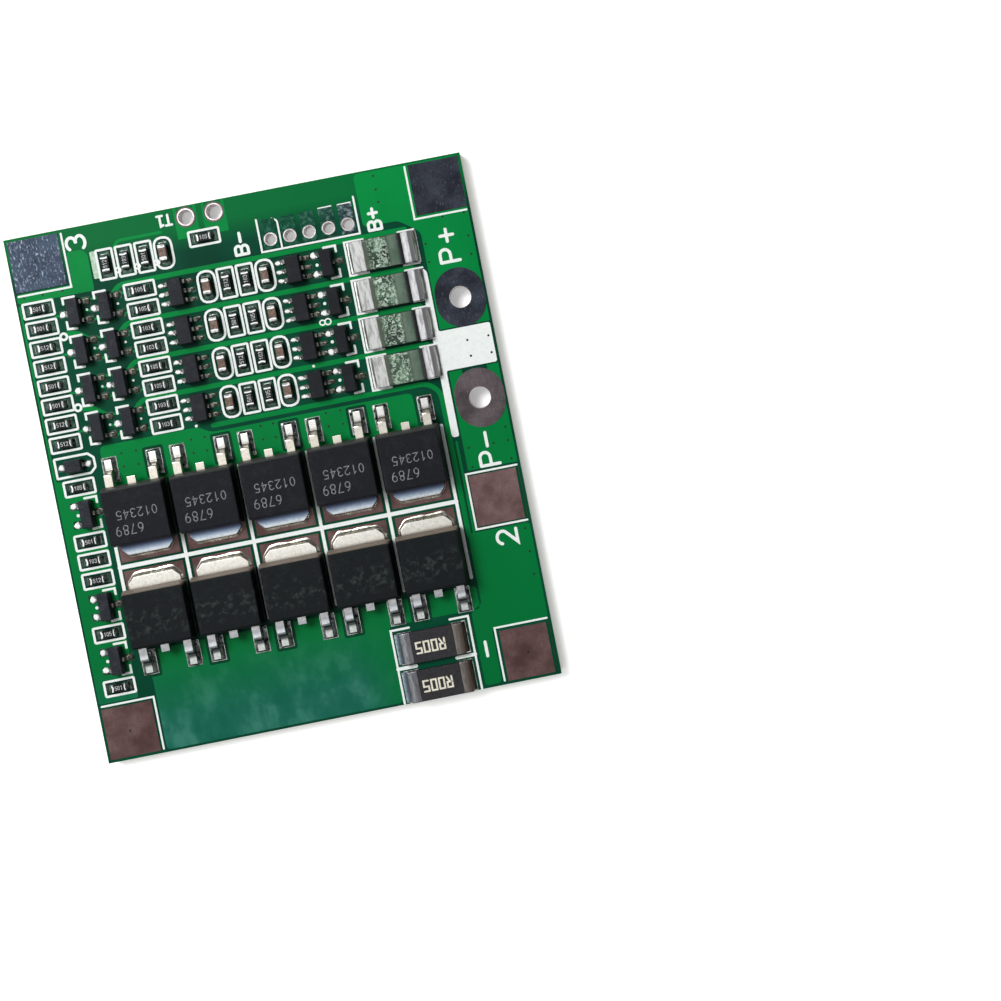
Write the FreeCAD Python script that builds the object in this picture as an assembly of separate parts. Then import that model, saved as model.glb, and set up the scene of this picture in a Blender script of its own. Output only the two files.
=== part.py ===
import FreeCAD
import Part
import os

# Battery management board, modelled in millimetres with +Z up.
# The origin is the centre of the underside, +X runs across the board to the power lands
# and +Y runs along it to the balance header.
# Layout values are first measured from the board's lower left corner, then centred.

Vector = FreeCAD.Vector
UP = Vector(0, 0, 1)
same_place = 1e-5

# Laminate and copper
board_thickness = 1.6
land_thickness = 0.05
land_setback = 0.3

# Five bare lands for the battery tabs
tab_land_width = 5.2
tab_land_length = 5.25
middle_land_drop = 0.35

# Two power holes with oblong lands on both faces
power_land_width = 5.1
power_land_length = 6.1
power_hole_radius = 1.13
power_hole_spacing = 10.45

# Row of holes for the balance header
header_pins = 5
header_pitch = 2.0
header_hole_radius = 0.6
header_land_width = 1.5
header_land_length = 3.05
header_land_overlap = 0.95
header_centre = 30.62
header_rise = 0.95

# Two holes for the thermistor and the resistor below them
thermistor_hole_radius = 0.8
thermistor_spacing = 2.9
thermistor_centre = 20.05
thermistor_edge_distance = 1.18
thermistor_resistor_drop = 2.35
hole_land_ring = 0.25

# Power transistor in a moulded case with a soldered drain tab
fets_per_row = 5
fet_width = 6.6
fet_length = 6.1
fet_height = 2.3
fet_gap = 0.43
fet_taper = 0.24
fet_foot_taper = 0.12
fet_tab_width = 5.3
fet_tab_reach = 1.1
fet_tab_thickness = 0.5
fet_tab_corner = 0.62
fet_paddle_depth = 4.6
fet_lead_spread = 4.57
fet_lead_reach = 2.7
fet_lead_thickness = 0.5
fet_lead_height = 0.9
fet_shoulder_width = 0.85
fet_shoulder_reach = 1.0
fet_foot_width = 0.75
fet_foot_length = 1.3
fet_bend_radius = 0.22
fet_stub_reach = 0.7
fet_lead_land_width = 1.55
fet_lead_land_length = 2.6
fet_lead_land_overhang = 0.25
drain_land_width = 6.1
drain_land_length = 6.6
drain_land_inset = 0.45
seam_gap = 1.15

# Small outline cases with gull wing leads: transistor, six-lead circuit and diode
small_standoff = 0.08
small_taper = 0.12
small_lead_pitch = 0.95
small_lead_width = 0.4
small_lead_thickness = 0.15
small_foot_length = 0.38
sot_length = 2.9
sot_height = 1.05
transistor_width = 1.3
transistor_span = 2.4
ic_width = 1.6
ic_span = 2.8
diode_length = 1.8
diode_width = 1.3
diode_height = 0.95
diode_span = 2.6

# Chip resistor and chip capacitor of the same footprint
chip_length = 1.6
chip_width = 0.8
chip_height = 0.45
chip_band = 0.3
capacitor_height = 0.8
capacitor_band = 0.36
capacitor_step = 0.03

# Large chip resistor, used for cell balancing and as current shunt
power_chip_length = 6.4
power_chip_width = 3.2
power_chip_height = 0.62
power_chip_plating = 0.07
balance_band = 1.25
shunt_band = 1.0
power_chip_land_length = 1.6
power_chip_land_overhang = 0.4
power_chip_land_side = 0.06

# Gaps along a sense row, from the left edge to the balance resistor
sense_rows = 4
edge_gap = 1.35
resistor_to_transistor_gap = 1.65
transistor_gap = 0.8
transistor_to_gate_gap = 1.6
gate_to_ic_gap = 1.5
ic_to_capacitor_gap = 1.3
column_gap = 1.2
transistor_to_balance_gap = 1.45
power_strip_gap = 0.85

# Gaps up the board
row_gap = 0.78
shunt_edge_gap = 0.1
shunt_to_lead_gap = 1.12
shunt_to_land_gap = 3.6
fet_strip = 4.885
lead_to_sense_gap = 1.83
top_strip = 6.93
top_chips_gap = 3.85
top_chips_rise = 1.8
strip_start_gap = 1.55
strip_chip_gap = 1.2
strip_transistor_gap = 0.95
strip_to_sense_gap = 1.33
strip_centre = 2.65
strip_transistor_shift = 0.35

# Overall plan, worked out from the rows and columns
row_pitch = max(power_chip_width, sot_length) + row_gap
fet_pitch = fet_width + fet_gap
fet_overall = fet_lead_reach + fet_length + fet_tab_reach
shunt_pitch = power_chip_width + row_gap
lower_tip_y = shunt_edge_gap + shunt_pitch + power_chip_width + shunt_to_lead_gap
seam_y = lower_tip_y + fet_overall + seam_gap
upper_tip_y = seam_y + seam_gap + fet_overall
board_top = board_thickness
seat = board_thickness + land_thickness


def stack(start, pieces):
    """Centres of pieces set one after another, and where the last one ends."""
    centres = []
    reach = start
    for size, gap in pieces:
        centres.append(reach + gap + size / 2)
        reach += gap + size
    return centres, reach


# Edge strip on the left: (kind, size along the board, gap before it), from the lower tab land up
edge_strip = (
    ("resistor", chip_width, strip_start_gap),
    ("transistor", sot_length, strip_transistor_gap),
    ("resistor", chip_width, strip_transistor_gap),
    ("transistor", sot_length, strip_transistor_gap),
    ("resistor", chip_width, strip_transistor_gap),
    ("resistor", chip_width, strip_chip_gap),
    ("resistor", chip_width, strip_chip_gap),
    ("transistor", sot_length, strip_transistor_gap),
    ("resistor", chip_width, strip_transistor_gap),
    ("diode", diode_width, strip_chip_gap),
)
strip_y, strip_end = stack(
    land_setback + tab_land_length, [(size, gap) for kind, size, gap in edge_strip]
)

# Sense rows: they start above the transistor leads and above the edge strip
first_row_y = max(
    upper_tip_y + lead_to_sense_gap + power_chip_width / 2,
    strip_end + strip_to_sense_gap + chip_width / 2 + row_pitch / 4,
)
row_y = [first_row_y + row_pitch * row for row in range(sense_rows)]
rows_top = row_y[-1] + power_chip_width / 2

# Columns of a sense row: (width across the board, gap before it)
sense_x, sense_end = stack(
    0,
    (
        (chip_length, edge_gap),
        (transistor_span, resistor_to_transistor_gap),
        (transistor_span, transistor_gap),
        (chip_length, transistor_to_gate_gap),
        (ic_span, gate_to_ic_gap),
        (chip_width, ic_to_capacitor_gap),
        (chip_width, column_gap),
        (chip_width, column_gap),
        (chip_width, column_gap),
        (ic_span, column_gap),
        (transistor_span, transistor_gap),
        (power_chip_length, transistor_to_balance_gap),
    ),
)
(
    input_x,
    outer_transistor_x,
    inner_transistor_x,
    gate_x,
    left_ic_x,
    left_capacitor_x,
    left_timing_x,
    right_timing_x,
    right_capacitor_x,
    right_ic_x,
    right_transistor_x,
    balance_x,
) = sense_x

fet_x = [fet_strip + fet_pitch * (column + 0.5) for column in range(fets_per_row)]
right_strip = max(sense_end, fet_strip + fet_pitch * fets_per_row) + power_strip_gap
board_width = right_strip + tab_land_width + land_setback
board_length = rows_top + top_strip
tab_x = (land_setback + tab_land_width / 2, board_width - land_setback - tab_land_width / 2)
tab_y = (land_setback + tab_land_length / 2, board_length - land_setback - tab_land_length / 2)
power_x = (right_strip + board_width) / 2
positive_y = (row_y[0] + row_y[-1]) / 2
power_y = (positive_y, positive_y - power_hole_spacing)
header_y = rows_top + header_rise + header_land_overlap
header_x = [
    header_centre + header_pitch * (pin - (header_pins - 1) / 2) for pin in range(header_pins)
]
thermistor_y = board_length - thermistor_edge_distance
thermistor_x = (
    thermistor_centre - thermistor_spacing / 2,
    thermistor_centre + thermistor_spacing / 2,
)
shunt_x = right_strip - shunt_to_land_gap - power_chip_length / 2
shunt_y = [shunt_edge_gap + power_chip_width / 2 + shunt_pitch * row for row in range(2)]


# Placing and plain shapes
def at(shape, x, y, z=0.0, turn=0.0):
    """A copy turned about +Z, then set at a place measured from the board's lower left corner."""
    placed = shape.copy()
    placed.rotate(Vector(0, 0, 0), UP, turn)
    placed.translate(Vector(x - board_width / 2, y - board_length / 2, z))
    return placed


def block(width, length, height, z=0.0):
    """A box centred on the Z axis."""
    return Part.makeBox(width, length, height, Vector(-width / 2, -length / 2, z))


def rod(radius, height, z=0.0):
    return Part.makeCylinder(radius, height, Vector(0, 0, z))


def oblong(width, length, height, z=0.0):
    """A plate with straight sides and fully rounded ends, longer along Y."""
    radius = width / 2
    offset = (length - width) / 2
    plate = block(width, 2 * offset, height, z)
    for side in (-1, 1):
        end = rod(radius, height, z)
        end.translate(Vector(0, side * offset, 0))
        plate = plate.fuse(end)
    return plate.removeSplitter()


def prism(points, width):
    """A profile drawn in (Y, Z), extruded to a width centred on X."""
    corners = [Vector(-width / 2, y, z) for y, z in points]
    face = Part.Face(Part.makePolygon(corners + corners[:1]))
    return face.extrude(Vector(width, 0, 0))


# Moulded cases and bent leads
def moulded_case(width, length, height, standoff, parting, taper, foot_taper):
    """A case widest at its parting line, with draft up to the top and down to the foot."""
    rings = []
    for z, inset in ((standoff, foot_taper), (parting, 0.0), (height, taper)):
        x = width / 2 - inset
        y = length / 2 - inset
        ring = [Vector(-x, -y, z), Vector(x, -y, z), Vector(x, y, z), Vector(-x, y, z)]
        rings.append(Part.makePolygon(ring + ring[:1]))
    lower = Part.makeLoft(rings[:2], True, True)
    upper = Part.makeLoft(rings[1:], True, True)
    return lower.fuse(upper).removeSplitter()


def gull_wing(start, shoulder, tip, foot, height, thickness, width):
    """A lead that leaves a case level along +Y, steps down and ends in a flat foot."""
    slope = thickness / 2
    points = (
        (start, height),
        (shoulder - slope, height),
        (tip - foot - slope, 0.0),
        (tip, 0.0),
        (tip, thickness),
        (tip - foot + slope, thickness),
        (shoulder + slope, height + thickness),
        (start, height + thickness),
    )
    return prism(points, width)


# Power transistor
def fet_case_blank():
    parting = fet_lead_height + fet_lead_thickness / 2
    return moulded_case(
        fet_width, fet_length, fet_height, 0.0, parting, fet_taper, fet_foot_taper
    )


def fet_drain():
    """Heat spreader with chamfered tab corners, rising inside the case to the cropped middle lead."""
    edge = -fet_length / 2
    tip = edge - fet_tab_reach
    half = fet_tab_width / 2
    corner = fet_tab_corner
    outline = (
        (-half, edge + fet_paddle_depth),
        (-half, tip + corner),
        (-half + corner, tip),
        (half - corner, tip),
        (half, tip + corner),
        (half, edge + fet_paddle_depth),
    )
    corners = [Vector(x, y, 0) for x, y in outline]
    paddle = Part.Face(Part.makePolygon(corners + corners[:1])).extrude(UP * fet_tab_thickness)
    top = fet_lead_height + fet_lead_thickness
    inner = edge + fet_paddle_depth - fet_lead_thickness
    outer = fet_length / 2 + fet_stub_reach
    hook = prism(
        (
            (inner, 0.0),
            (inner + fet_lead_thickness, 0.0),
            (inner + fet_lead_thickness, fet_lead_height),
            (outer, fet_lead_height),
            (outer, top),
            (inner, top),
        ),
        fet_shoulder_width,
    )
    return paddle.fuse(hook).removeSplitter()


def fet_outer_lead(case):
    """Source or gate lead: a wide shoulder, a rounded bend and a narrower foot."""
    edge = fet_length / 2
    tip = edge + fet_lead_reach
    shoulder = edge + fet_shoulder_reach
    lead = gull_wing(
        0.0, shoulder, tip, fet_foot_length, fet_lead_height, fet_lead_thickness,
        fet_shoulder_width,
    )
    trim = (fet_shoulder_width - fet_foot_width) / 2
    for side in (-1, 1):
        offset = side * (fet_shoulder_width - trim) / 2
        cutter = Part.makeBox(
            trim, fet_lead_reach, fet_height, Vector(offset - trim / 2, shoulder, -fet_height / 2)
        )
        lead = lead.cut(cutter)
    bend_y = shoulder + fet_lead_thickness / 2
    bend_z = fet_lead_height + fet_lead_thickness
    bend = [
        edge for edge in lead.Edges
        if all(abs(v.Y - bend_y) + abs(v.Z - bend_z) < same_place for v in edge.Vertexes)
    ]
    return lead.makeFillet(fet_bend_radius, bend).cut(case)


def fet():
    """Case and leads, with the drain tab towards -Y."""
    blank = fet_case_blank()
    drain = fet_drain()
    lead = fet_outer_lead(blank)
    outer = []
    for side in (-1, 1):
        copy = lead.copy()
        copy.translate(Vector(side * fet_lead_spread / 2, 0, 0))
        outer.append(copy)
    return blank.cut(drain), [drain] + outer


# Small outline cases
def leaded_case(width, length, height, span, right_leads, left_leads):
    """Case and leads along X; the lists give lead places along Y in lead pitches."""
    case = moulded_case(
        width, length, height, small_standoff, height / 2, small_taper, small_taper / 2
    )
    exit_height = (height - small_lead_thickness) / 2
    shoulder = (width / 2 + span / 2 - small_foot_length) / 2
    lead = gull_wing(
        0.0, shoulder, span / 2, small_foot_length, exit_height, small_lead_thickness,
        small_lead_width,
    )
    leads = []
    for places, turn in ((right_leads, -90), (left_leads, 90)):
        for place in places:
            copy = lead.copy()
            copy.rotate(Vector(0, 0, 0), UP, turn)
            copy.translate(Vector(0, place * small_lead_pitch, 0))
            leads.append(copy.cut(case))
    return case, leads


# Chip parts
def chip(length, width, height, band, step):
    """Core between two end terminals along Y, which stand out from its sides and top by a step."""
    core = block(width - 2 * step, length - 2 * band, height - 2 * step, step)
    terminals = []
    for side in (-1, 1):
        cap = block(width, band, height)
        cap.translate(Vector(0, side * (length - band) / 2, 0))
        terminals.append(cap)
    return core, terminals


def power_chip(band):
    """Large chip whose folded terminals wrap the core's ends and leave its sides bare."""
    plating = power_chip_plating
    core = block(
        power_chip_width, power_chip_length - 2 * plating, power_chip_height - 2 * plating, plating
    )
    terminals = []
    for side in (-1, 1):
        cap = block(power_chip_width, band, power_chip_height)
        cap.translate(Vector(0, side * (power_chip_length - band) / 2, 0))
        terminals.append(cap.cut(core))
    coat = block(power_chip_width, power_chip_length - 2 * band, plating, power_chip_height - plating)
    return core.fuse(coat).removeSplitter(), terminals


# Lands around the holes
def power_land(z=0.0):
    return oblong(power_land_width, power_land_length, land_thickness, z)


def header_land():
    """Square-cornered land that reaches further to the board's edge than its hole."""
    land = block(header_land_width, header_land_length, land_thickness, board_top)
    land.translate(Vector(0, header_land_length / 2 - header_land_overlap, 0))
    return land.cut(rod(header_hole_radius, seat))


def thermistor_land():
    land = rod(thermistor_hole_radius + hole_land_ring, land_thickness, board_top)
    return land.cut(rod(thermistor_hole_radius, seat))


def circuit_board(spaces):
    """The laminate with its holes and the sunk foot lands taken out."""
    board = at(Part.makeBox(board_width, board_length, board_thickness), 0, 0)
    for space in spaces:
        board = board.cut(space)
    return board


# Groups of parts, each a list of solids for one node
nodes = {}


def keep(name, shapes):
    nodes.setdefault(name, []).extend(shapes)


def place_tab_lands():
    plate = block(tab_land_width, tab_land_length, land_thickness)
    left, right = tab_x
    low, high = tab_y
    places = {
        "top_left_tab_land": (left, high),
        "top_right_tab_land": (right, high),
        "middle_right_tab_land": (right, seam_y - middle_land_drop),
        "bottom_left_tab_land": (left, low),
        "bottom_right_tab_land": (right, low),
    }
    for name, (x, y) in places.items():
        keep(name, [at(plate, x, y, board_top)])


def place_fets():
    case, leads = fet()
    drain_land = block(drain_land_width, drain_land_length, land_thickness)
    lead_land = block(fet_lead_land_width, fet_lead_land_length, land_thickness)
    middle = fet_overall - fet_lead_reach - fet_length / 2
    for row, side, turn in (("upper", 1, 0), ("lower", -1, 180)):
        y = seam_y + side * (seam_gap + middle)
        tip = seam_y + side * (seam_gap + fet_overall + fet_lead_land_overhang)
        for number, x in enumerate(fet_x, 1):
            keep(f"{row}_mosfet_{number}_case", [at(case, x, y, seat, turn)])
            keep(f"{row}_mosfet_{number}_leads", [at(part, x, y, seat, turn) for part in leads])
            land_y = seam_y + side * (drain_land_inset + drain_land_length / 2)
            keep("drain_lands", [at(drain_land, x, land_y, board_top)])
            for offset in (-fet_lead_spread / 2, fet_lead_spread / 2):
                lead_y = tip - side * fet_lead_land_length / 2
                keep("lead_lands", [at(lead_land, x + offset, lead_y, board_top)])


def place_small_case(group, part, x, y):
    case, leads = part
    keep(f"{group}_cases", [at(case, x, y, board_top)])
    keep(f"{group}_leads", [at(lead, x, y, board_top) for lead in leads])


def place_small_cases():
    ends = (-1, 1)
    middle = (0,)
    six = (-1, 0, 1)
    ic = leaded_case(ic_width, sot_length, sot_height, ic_span, six, six)
    transistor = (transistor_width, sot_length, sot_height, transistor_span)
    one_left = leaded_case(*transistor, ends, middle)
    one_right = leaded_case(*transistor, middle, ends)
    for y in row_y:
        place_small_case("left_transistor", one_left, outer_transistor_x, y)
        place_small_case("left_transistor", one_left, inner_transistor_x, y)
        place_small_case("left_ic", ic, left_ic_x, y)
        place_small_case("right_ic", ic, right_ic_x, y)
        place_small_case("right_transistor", one_right, right_transistor_x, y)
    for (kind, size, gap), y in zip(edge_strip, strip_y):
        if kind == "transistor":
            x = strip_centre + strip_transistor_shift
            place_small_case("left_transistor", one_right, x, y)


def place_diode():
    case, leads = leaded_case(diode_length, diode_width, diode_height, diode_span, (0,), (0,))
    keep("diode_case", [at(case, strip_centre, strip_y[-1], board_top)])
    keep("diode_leads", [at(lead, strip_centre, strip_y[-1], board_top) for lead in leads])


def place_chip(group, part, x, y, turn):
    core, terminals = part
    keep(f"{group}_cores", [at(core, x, y, board_top, turn)])
    keep(f"{group}_terminals", [at(terminal, x, y, board_top, turn) for terminal in terminals])


def place_chips():
    resistor = chip(chip_length, chip_width, chip_height, chip_band, 0.0)
    capacitor = chip(
        chip_length, chip_width, capacitor_height, capacitor_band, capacitor_step
    )
    for y in row_y:
        for x in (input_x, gate_x):
            for offset in (-row_pitch / 4, row_pitch / 4):
                place_chip("chip_resistor", resistor, x, y + offset, 90)
        for x in (left_timing_x, right_timing_x):
            place_chip("chip_resistor", resistor, x, y, 0)
        for x in (left_capacitor_x, right_capacitor_x):
            place_chip("chip_capacitor", capacitor, x, y, 0)
    for (kind, size, gap), y in zip(edge_strip, strip_y):
        if kind == "resistor":
            place_chip("chip_resistor", resistor, strip_centre, y, 90)
    top_y = rows_top + top_chips_rise + chip_length / 2
    start = land_setback + tab_land_width + top_chips_gap - column_gap
    top_x, end = stack(start, [(chip_width, column_gap)] * 4)
    for x in top_x[:-1]:
        place_chip("chip_resistor", resistor, x, top_y, 0)
    place_chip("chip_capacitor", capacitor, top_x[-1], top_y, 0)
    resistor_y = thermistor_y - thermistor_resistor_drop
    place_chip("chip_resistor", resistor, thermistor_centre, resistor_y, 90)


def place_power_chip(name, band, x, y):
    core, terminals = power_chip(band)
    keep(f"{name}_core", [at(core, x, y, seat, 90)])
    keep(f"{name}_terminals", [at(terminal, x, y, seat, 90) for terminal in terminals])
    land = block(
        power_chip_land_length, power_chip_width + 2 * power_chip_land_side, land_thickness
    )
    reach = (power_chip_length - power_chip_land_length) / 2 + power_chip_land_overhang
    for side in (-1, 1):
        keep("power_chip_lands", [at(land, x + side * reach, y, board_top)])


def place_power_chips():
    for number, y in enumerate(row_y, 1):
        place_power_chip(f"balance_resistor_{number}", balance_band, balance_x, y)
    for number, y in enumerate(shunt_y, 1):
        place_power_chip(f"shunt_resistor_{number}", shunt_band, shunt_x, y)


def place_board():
    power_hole = rod(power_hole_radius, seat)
    pin_hole = rod(header_hole_radius, seat)
    wire_hole = rod(thermistor_hole_radius, seat)
    spaces = [at(pin_hole, x, header_y) for x in header_x]
    spaces += [at(wire_hole, x, thermistor_y) for x in thermistor_x]
    for name, y in zip(("positive_power_lands", "negative_power_lands"), power_y):
        foot = power_land()
        spaces += [at(power_hole, power_x, y), at(foot, power_x, y)]
        keep(name, [at(land.cut(power_hole), power_x, y) for land in (power_land(board_top), foot)])
    keep("header_lands", [at(header_land(), x, header_y) for x in header_x])
    keep("thermistor_lands", [at(thermistor_land(), x, thermistor_y) for x in thermistor_x])
    keep("circuit_board", [circuit_board(spaces)])


def write_nodes():
    os.makedirs("parts", exist_ok=True)
    for name, shapes in nodes.items():
        shape = shapes[0] if len(shapes) == 1 else Part.makeCompound(shapes)
        shape.exportStep(f"parts/{name}.step")


place_board()
place_tab_lands()
place_fets()
place_small_cases()
place_chips()
place_power_chips()
place_diode()
write_nodes()
print(f"board {board_width:.2f} x {board_length:.2f} mm, {len(nodes)} nodes")
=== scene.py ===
import itertools
import math
import random

import bmesh
import bpy
from mathutils import Matrix, Vector


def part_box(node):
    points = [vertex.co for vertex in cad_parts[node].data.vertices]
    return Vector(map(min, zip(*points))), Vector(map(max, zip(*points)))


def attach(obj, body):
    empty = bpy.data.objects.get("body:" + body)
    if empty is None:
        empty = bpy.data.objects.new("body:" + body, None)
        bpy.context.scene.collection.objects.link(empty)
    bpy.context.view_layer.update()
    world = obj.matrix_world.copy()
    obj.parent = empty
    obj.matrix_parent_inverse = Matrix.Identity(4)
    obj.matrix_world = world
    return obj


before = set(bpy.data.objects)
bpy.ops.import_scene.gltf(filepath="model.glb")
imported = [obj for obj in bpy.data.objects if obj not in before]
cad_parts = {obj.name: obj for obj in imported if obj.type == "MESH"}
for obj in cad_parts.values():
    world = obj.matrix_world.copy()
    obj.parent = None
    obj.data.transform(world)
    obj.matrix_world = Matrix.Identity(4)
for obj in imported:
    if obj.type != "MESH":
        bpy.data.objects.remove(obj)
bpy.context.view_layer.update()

# Everything below is drawn in millimetres from the board's lower left corner, z from its underside.
MM = 0.001
board_low, board_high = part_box("circuit_board")
board_top = board_high[2] / MM
corner = Vector((board_low[0], board_low[1], 0.0))
board_to_frame = Matrix.Translation(corner) @ Matrix.Scale(MM, 4)
frame_to_board = board_to_frame.inverted()

# Layers printed or plated on the board; each starts a little under the board's face
film_low = board_top - 0.005
film_high = board_top + 0.014
pad_high = board_top + 0.02
ink_low = film_low
ink_high = board_top + 0.024
block_high = ink_high + 0.012
land_high = board_top + 0.05
silk_width = 0.24
label_width = 0.32
stub_width = 0.24

# Places that sort the parts: the edge column of small transistors, and the seam of the power transistors
first_column = 4.0
row_split = 20.0

# Front edge of a power transistor's drain tab
tab_half = 2.65
tab_chamfer = 0.62

# Depth by which a heap of solder goes into its land, and a full turn for the phase of its ripple
heap_edge = 0.004
full_phase = 6.28

# How far solder usually reaches past the end of a wide resistor
end_reach = 0.36

# Lines that cross lie at slightly different heights, so that no two faces coincide
lifts = itertools.cycle([0.0015 * step for step in range(7)])

# Photograph's viewpoint: the camera stands over camera_foot and looks at camera_aim
camera_turn = math.radians(-11.1)
camera_foot = (48.0, 33.0)
camera_aim = (49.65, 30.92)
camera_height = 130.0
frame_width = 102.42
frame_shift = (-0.0267, -0.127)
sensor_width = 36.0

# Floor, in metres
floor_reach = 1.2
floor_height = -0.00002

# Draws for what is uneven, the same in each run
draw = random.Random(5)


# Reading the frame
def solids(node):
    """Lowest and highest corner of each separate solid in a CAD node."""
    mesh = bmesh.new()
    mesh.from_mesh(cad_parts[node].data)
    bmesh.ops.remove_doubles(mesh, verts=mesh.verts, dist=1e-7)
    bmesh.ops.transform(mesh, matrix=frame_to_board, verts=mesh.verts)
    found = []
    waiting = set(mesh.verts)
    while waiting:
        group = [waiting.pop()]
        for vert in group:
            near = [edge.other_vert(vert) for edge in vert.link_edges]
            fresh = [other for other in near if other in waiting]
            waiting.difference_update(fresh)
            group.extend(fresh)
        low = Vector([min(vert.co[axis] for vert in group) for axis in range(3)])
        high = Vector([max(vert.co[axis] for vert in group) for axis in range(3)])
        found.append((low, high))
    mesh.free()
    found.sort(key=lambda box: (round(box[0].y, 2), round(box[0].x, 2)))
    return found


def middle(box):
    """Centre of a box."""
    return (box[0] + box[1]) / 2


def size(box):
    """Width, length and height of a box."""
    return box[1] - box[0]


def lies_across(box):
    """True for a chip part whose length runs across the board."""
    return size(box).x > size(box).y


def nearest(points, place):
    """The one of some points that is closest to a place."""
    return min(points, key=lambda point: (point - place).length)


def node_box(name):
    """Lowest and highest corner of a CAD node, on the board."""
    return [frame_to_board @ Vector(end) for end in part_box(name)]


def numbered_boxes(pattern, count):
    """Boxes of the nodes whose names differ only in their number."""
    return [node_box(pattern.format(number)) for number in range(1, count + 1)]


# Flat outlines
def rectangle(low, high):
    """Corners of the rectangle between two points."""
    return [(low[0], low[1]), (high[0], low[1]), (high[0], high[1]), (low[0], high[1])]


def bow(centre_x, centre_y, radius_x, radius_y, start, end, steps):
    """Points on an ellipse from one angle to another, in degrees."""
    points = []
    for step in range(steps + 1):
        angle = math.radians(start + (end - start) * step / steps)
        x = centre_x + radius_x * math.cos(angle)
        y = centre_y + radius_y * math.sin(angle)
        points.append((x, y))
    return points


def circle(x, y, radius, steps):
    """Points round a circle."""
    return bow(x, y, radius, radius, 0, 360, steps)[:-1]


def rounded(points, radius, closed=True, steps=4):
    """The same outline with its corners turned into arcs."""
    smooth = []
    count = len(points)
    for index in range(count):
        here = Vector(points[index])
        if not closed and index in (0, count - 1):
            smooth.append(tuple(here))
            continue
        before = Vector(points[index - 1]) - here
        after = Vector(points[(index + 1) % count]) - here
        reach = min(radius, before.length * 0.48, after.length * 0.48)
        start = here + before.normalized() * reach
        end = here + after.normalized() * reach
        for step in range(steps + 1):
            share = step / steps
            point = start.lerp(here, share).lerp(here.lerp(end, share), share)
            smooth.append(tuple(point))
    return smooth


def sides(path, width, closed):
    """The two edges of a line of constant width along a path."""
    count = len(path)
    left = []
    right = []
    for index in range(count):
        here = Vector(path[index])
        runs = []
        if closed or index > 0:
            runs.append((here - Vector(path[index - 1])).normalized())
        if closed or index < count - 1:
            runs.append((Vector(path[(index + 1) % count]) - here).normalized())
        along = sum(runs, Vector((0.0, 0.0))).normalized()
        across = Vector((-along.y, along.x))
        spread = max(0.35, abs(across.dot(Vector((-runs[0].y, runs[0].x)))))
        offset = across * (width / 2 / spread)
        left.append(here + offset)
        right.append(here - offset)
    return left, right


# Solids for the mesh of a piece
def plate(mesh, outline, low, high):
    """An outline raised from one height to another."""
    foot = [mesh.verts.new((x, y, low)) for x, y in outline]
    top = [mesh.verts.new((x, y, high)) for x, y in outline]
    mesh.faces.new(top)
    mesh.faces.new(foot[::-1])
    for index in range(len(outline)):
        mesh.faces.new((foot[index - 1], foot[index], top[index], top[index - 1]))


def panel(mesh, low, high, radius, bottom, top):
    """A flat rectangle with rounded corners between two points."""
    plate(mesh, rounded(rectangle(low, high), radius), bottom, top)


def ring(mesh, outer, inner, low, high):
    """The band between two outlines with the same number of points."""
    loops = []
    for outline, z in ((outer, low), (outer, high), (inner, high), (inner, low)):
        loops.append([mesh.verts.new((point[0], point[1], z)) for point in outline])
    for loop, other in zip(loops, loops[1:] + loops[:1]):
        for index in range(len(outer)):
            mesh.faces.new((loop[index - 1], loop[index], other[index], other[index - 1]))


def line(mesh, path, width, low, high):
    """A line of constant width: a closed band where the path ends at its start, else with round ends."""
    closed = (Vector(path[0]) - Vector(path[-1])).length < 1e-6
    if closed:
        path = path[:-1]
    left, right = sides(path, width, closed)
    if closed:
        ring(mesh, left, right, low, high)
        return
    ends = []
    for point, towards in ((path[-1], path[-2]), (path[0], path[1])):
        out = Vector(point) - Vector(towards)
        angle = math.degrees(math.atan2(out.y, out.x))
        ends.append(bow(point[0], point[1], width / 2, width / 2, angle + 90, angle - 90, 6)[1:-1])
    plate(mesh, left + ends[0] + right[::-1] + ends[1], low, high)


def disc(mesh, x, y, radius, low, high, steps):
    plate(mesh, circle(x, y, radius, steps), low, high)


def tube(mesh, x, y, outer, inner, low, high):
    steps = 32
    ring(mesh, circle(x, y, outer, steps), circle(x, y, inner, steps), low, high)


def relief(mesh, low, high, base, rise, across, along):
    """A closed heap over a rectangle; rise gives its height from places -1 to 1 each way."""
    grid = []
    for row in range(along + 1):
        v = 2 * row / along - 1
        y = (low[1] + high[1]) / 2 + v * (high[1] - low[1]) / 2
        pairs = []
        for column in range(across + 1):
            u = 2 * column / across - 1
            x = (low[0] + high[0]) / 2 + u * (high[0] - low[0]) / 2
            top = mesh.verts.new((x, y, base + max(heap_edge, rise(u, v))))
            foot = mesh.verts.new((x, y, base - heap_edge))
            pairs.append((top, foot))
        grid.append(pairs)
    for first, second in zip(grid, grid[1:]):
        for column in range(across):
            square = [first[column], first[column + 1], second[column + 1], second[column]]
            mesh.faces.new([pair[0] for pair in square])
            mesh.faces.new([pair[1] for pair in square[::-1]])
    rim = grid[0] + [pairs[-1] for pairs in grid[1:-1]]
    rim += grid[-1][::-1] + [pairs[0] for pairs in grid[-2:0:-1]]
    for index, second in enumerate(rim):
        first = rim[index - 1]
        mesh.faces.new((first[1], second[1], second[0], first[0]))


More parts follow.
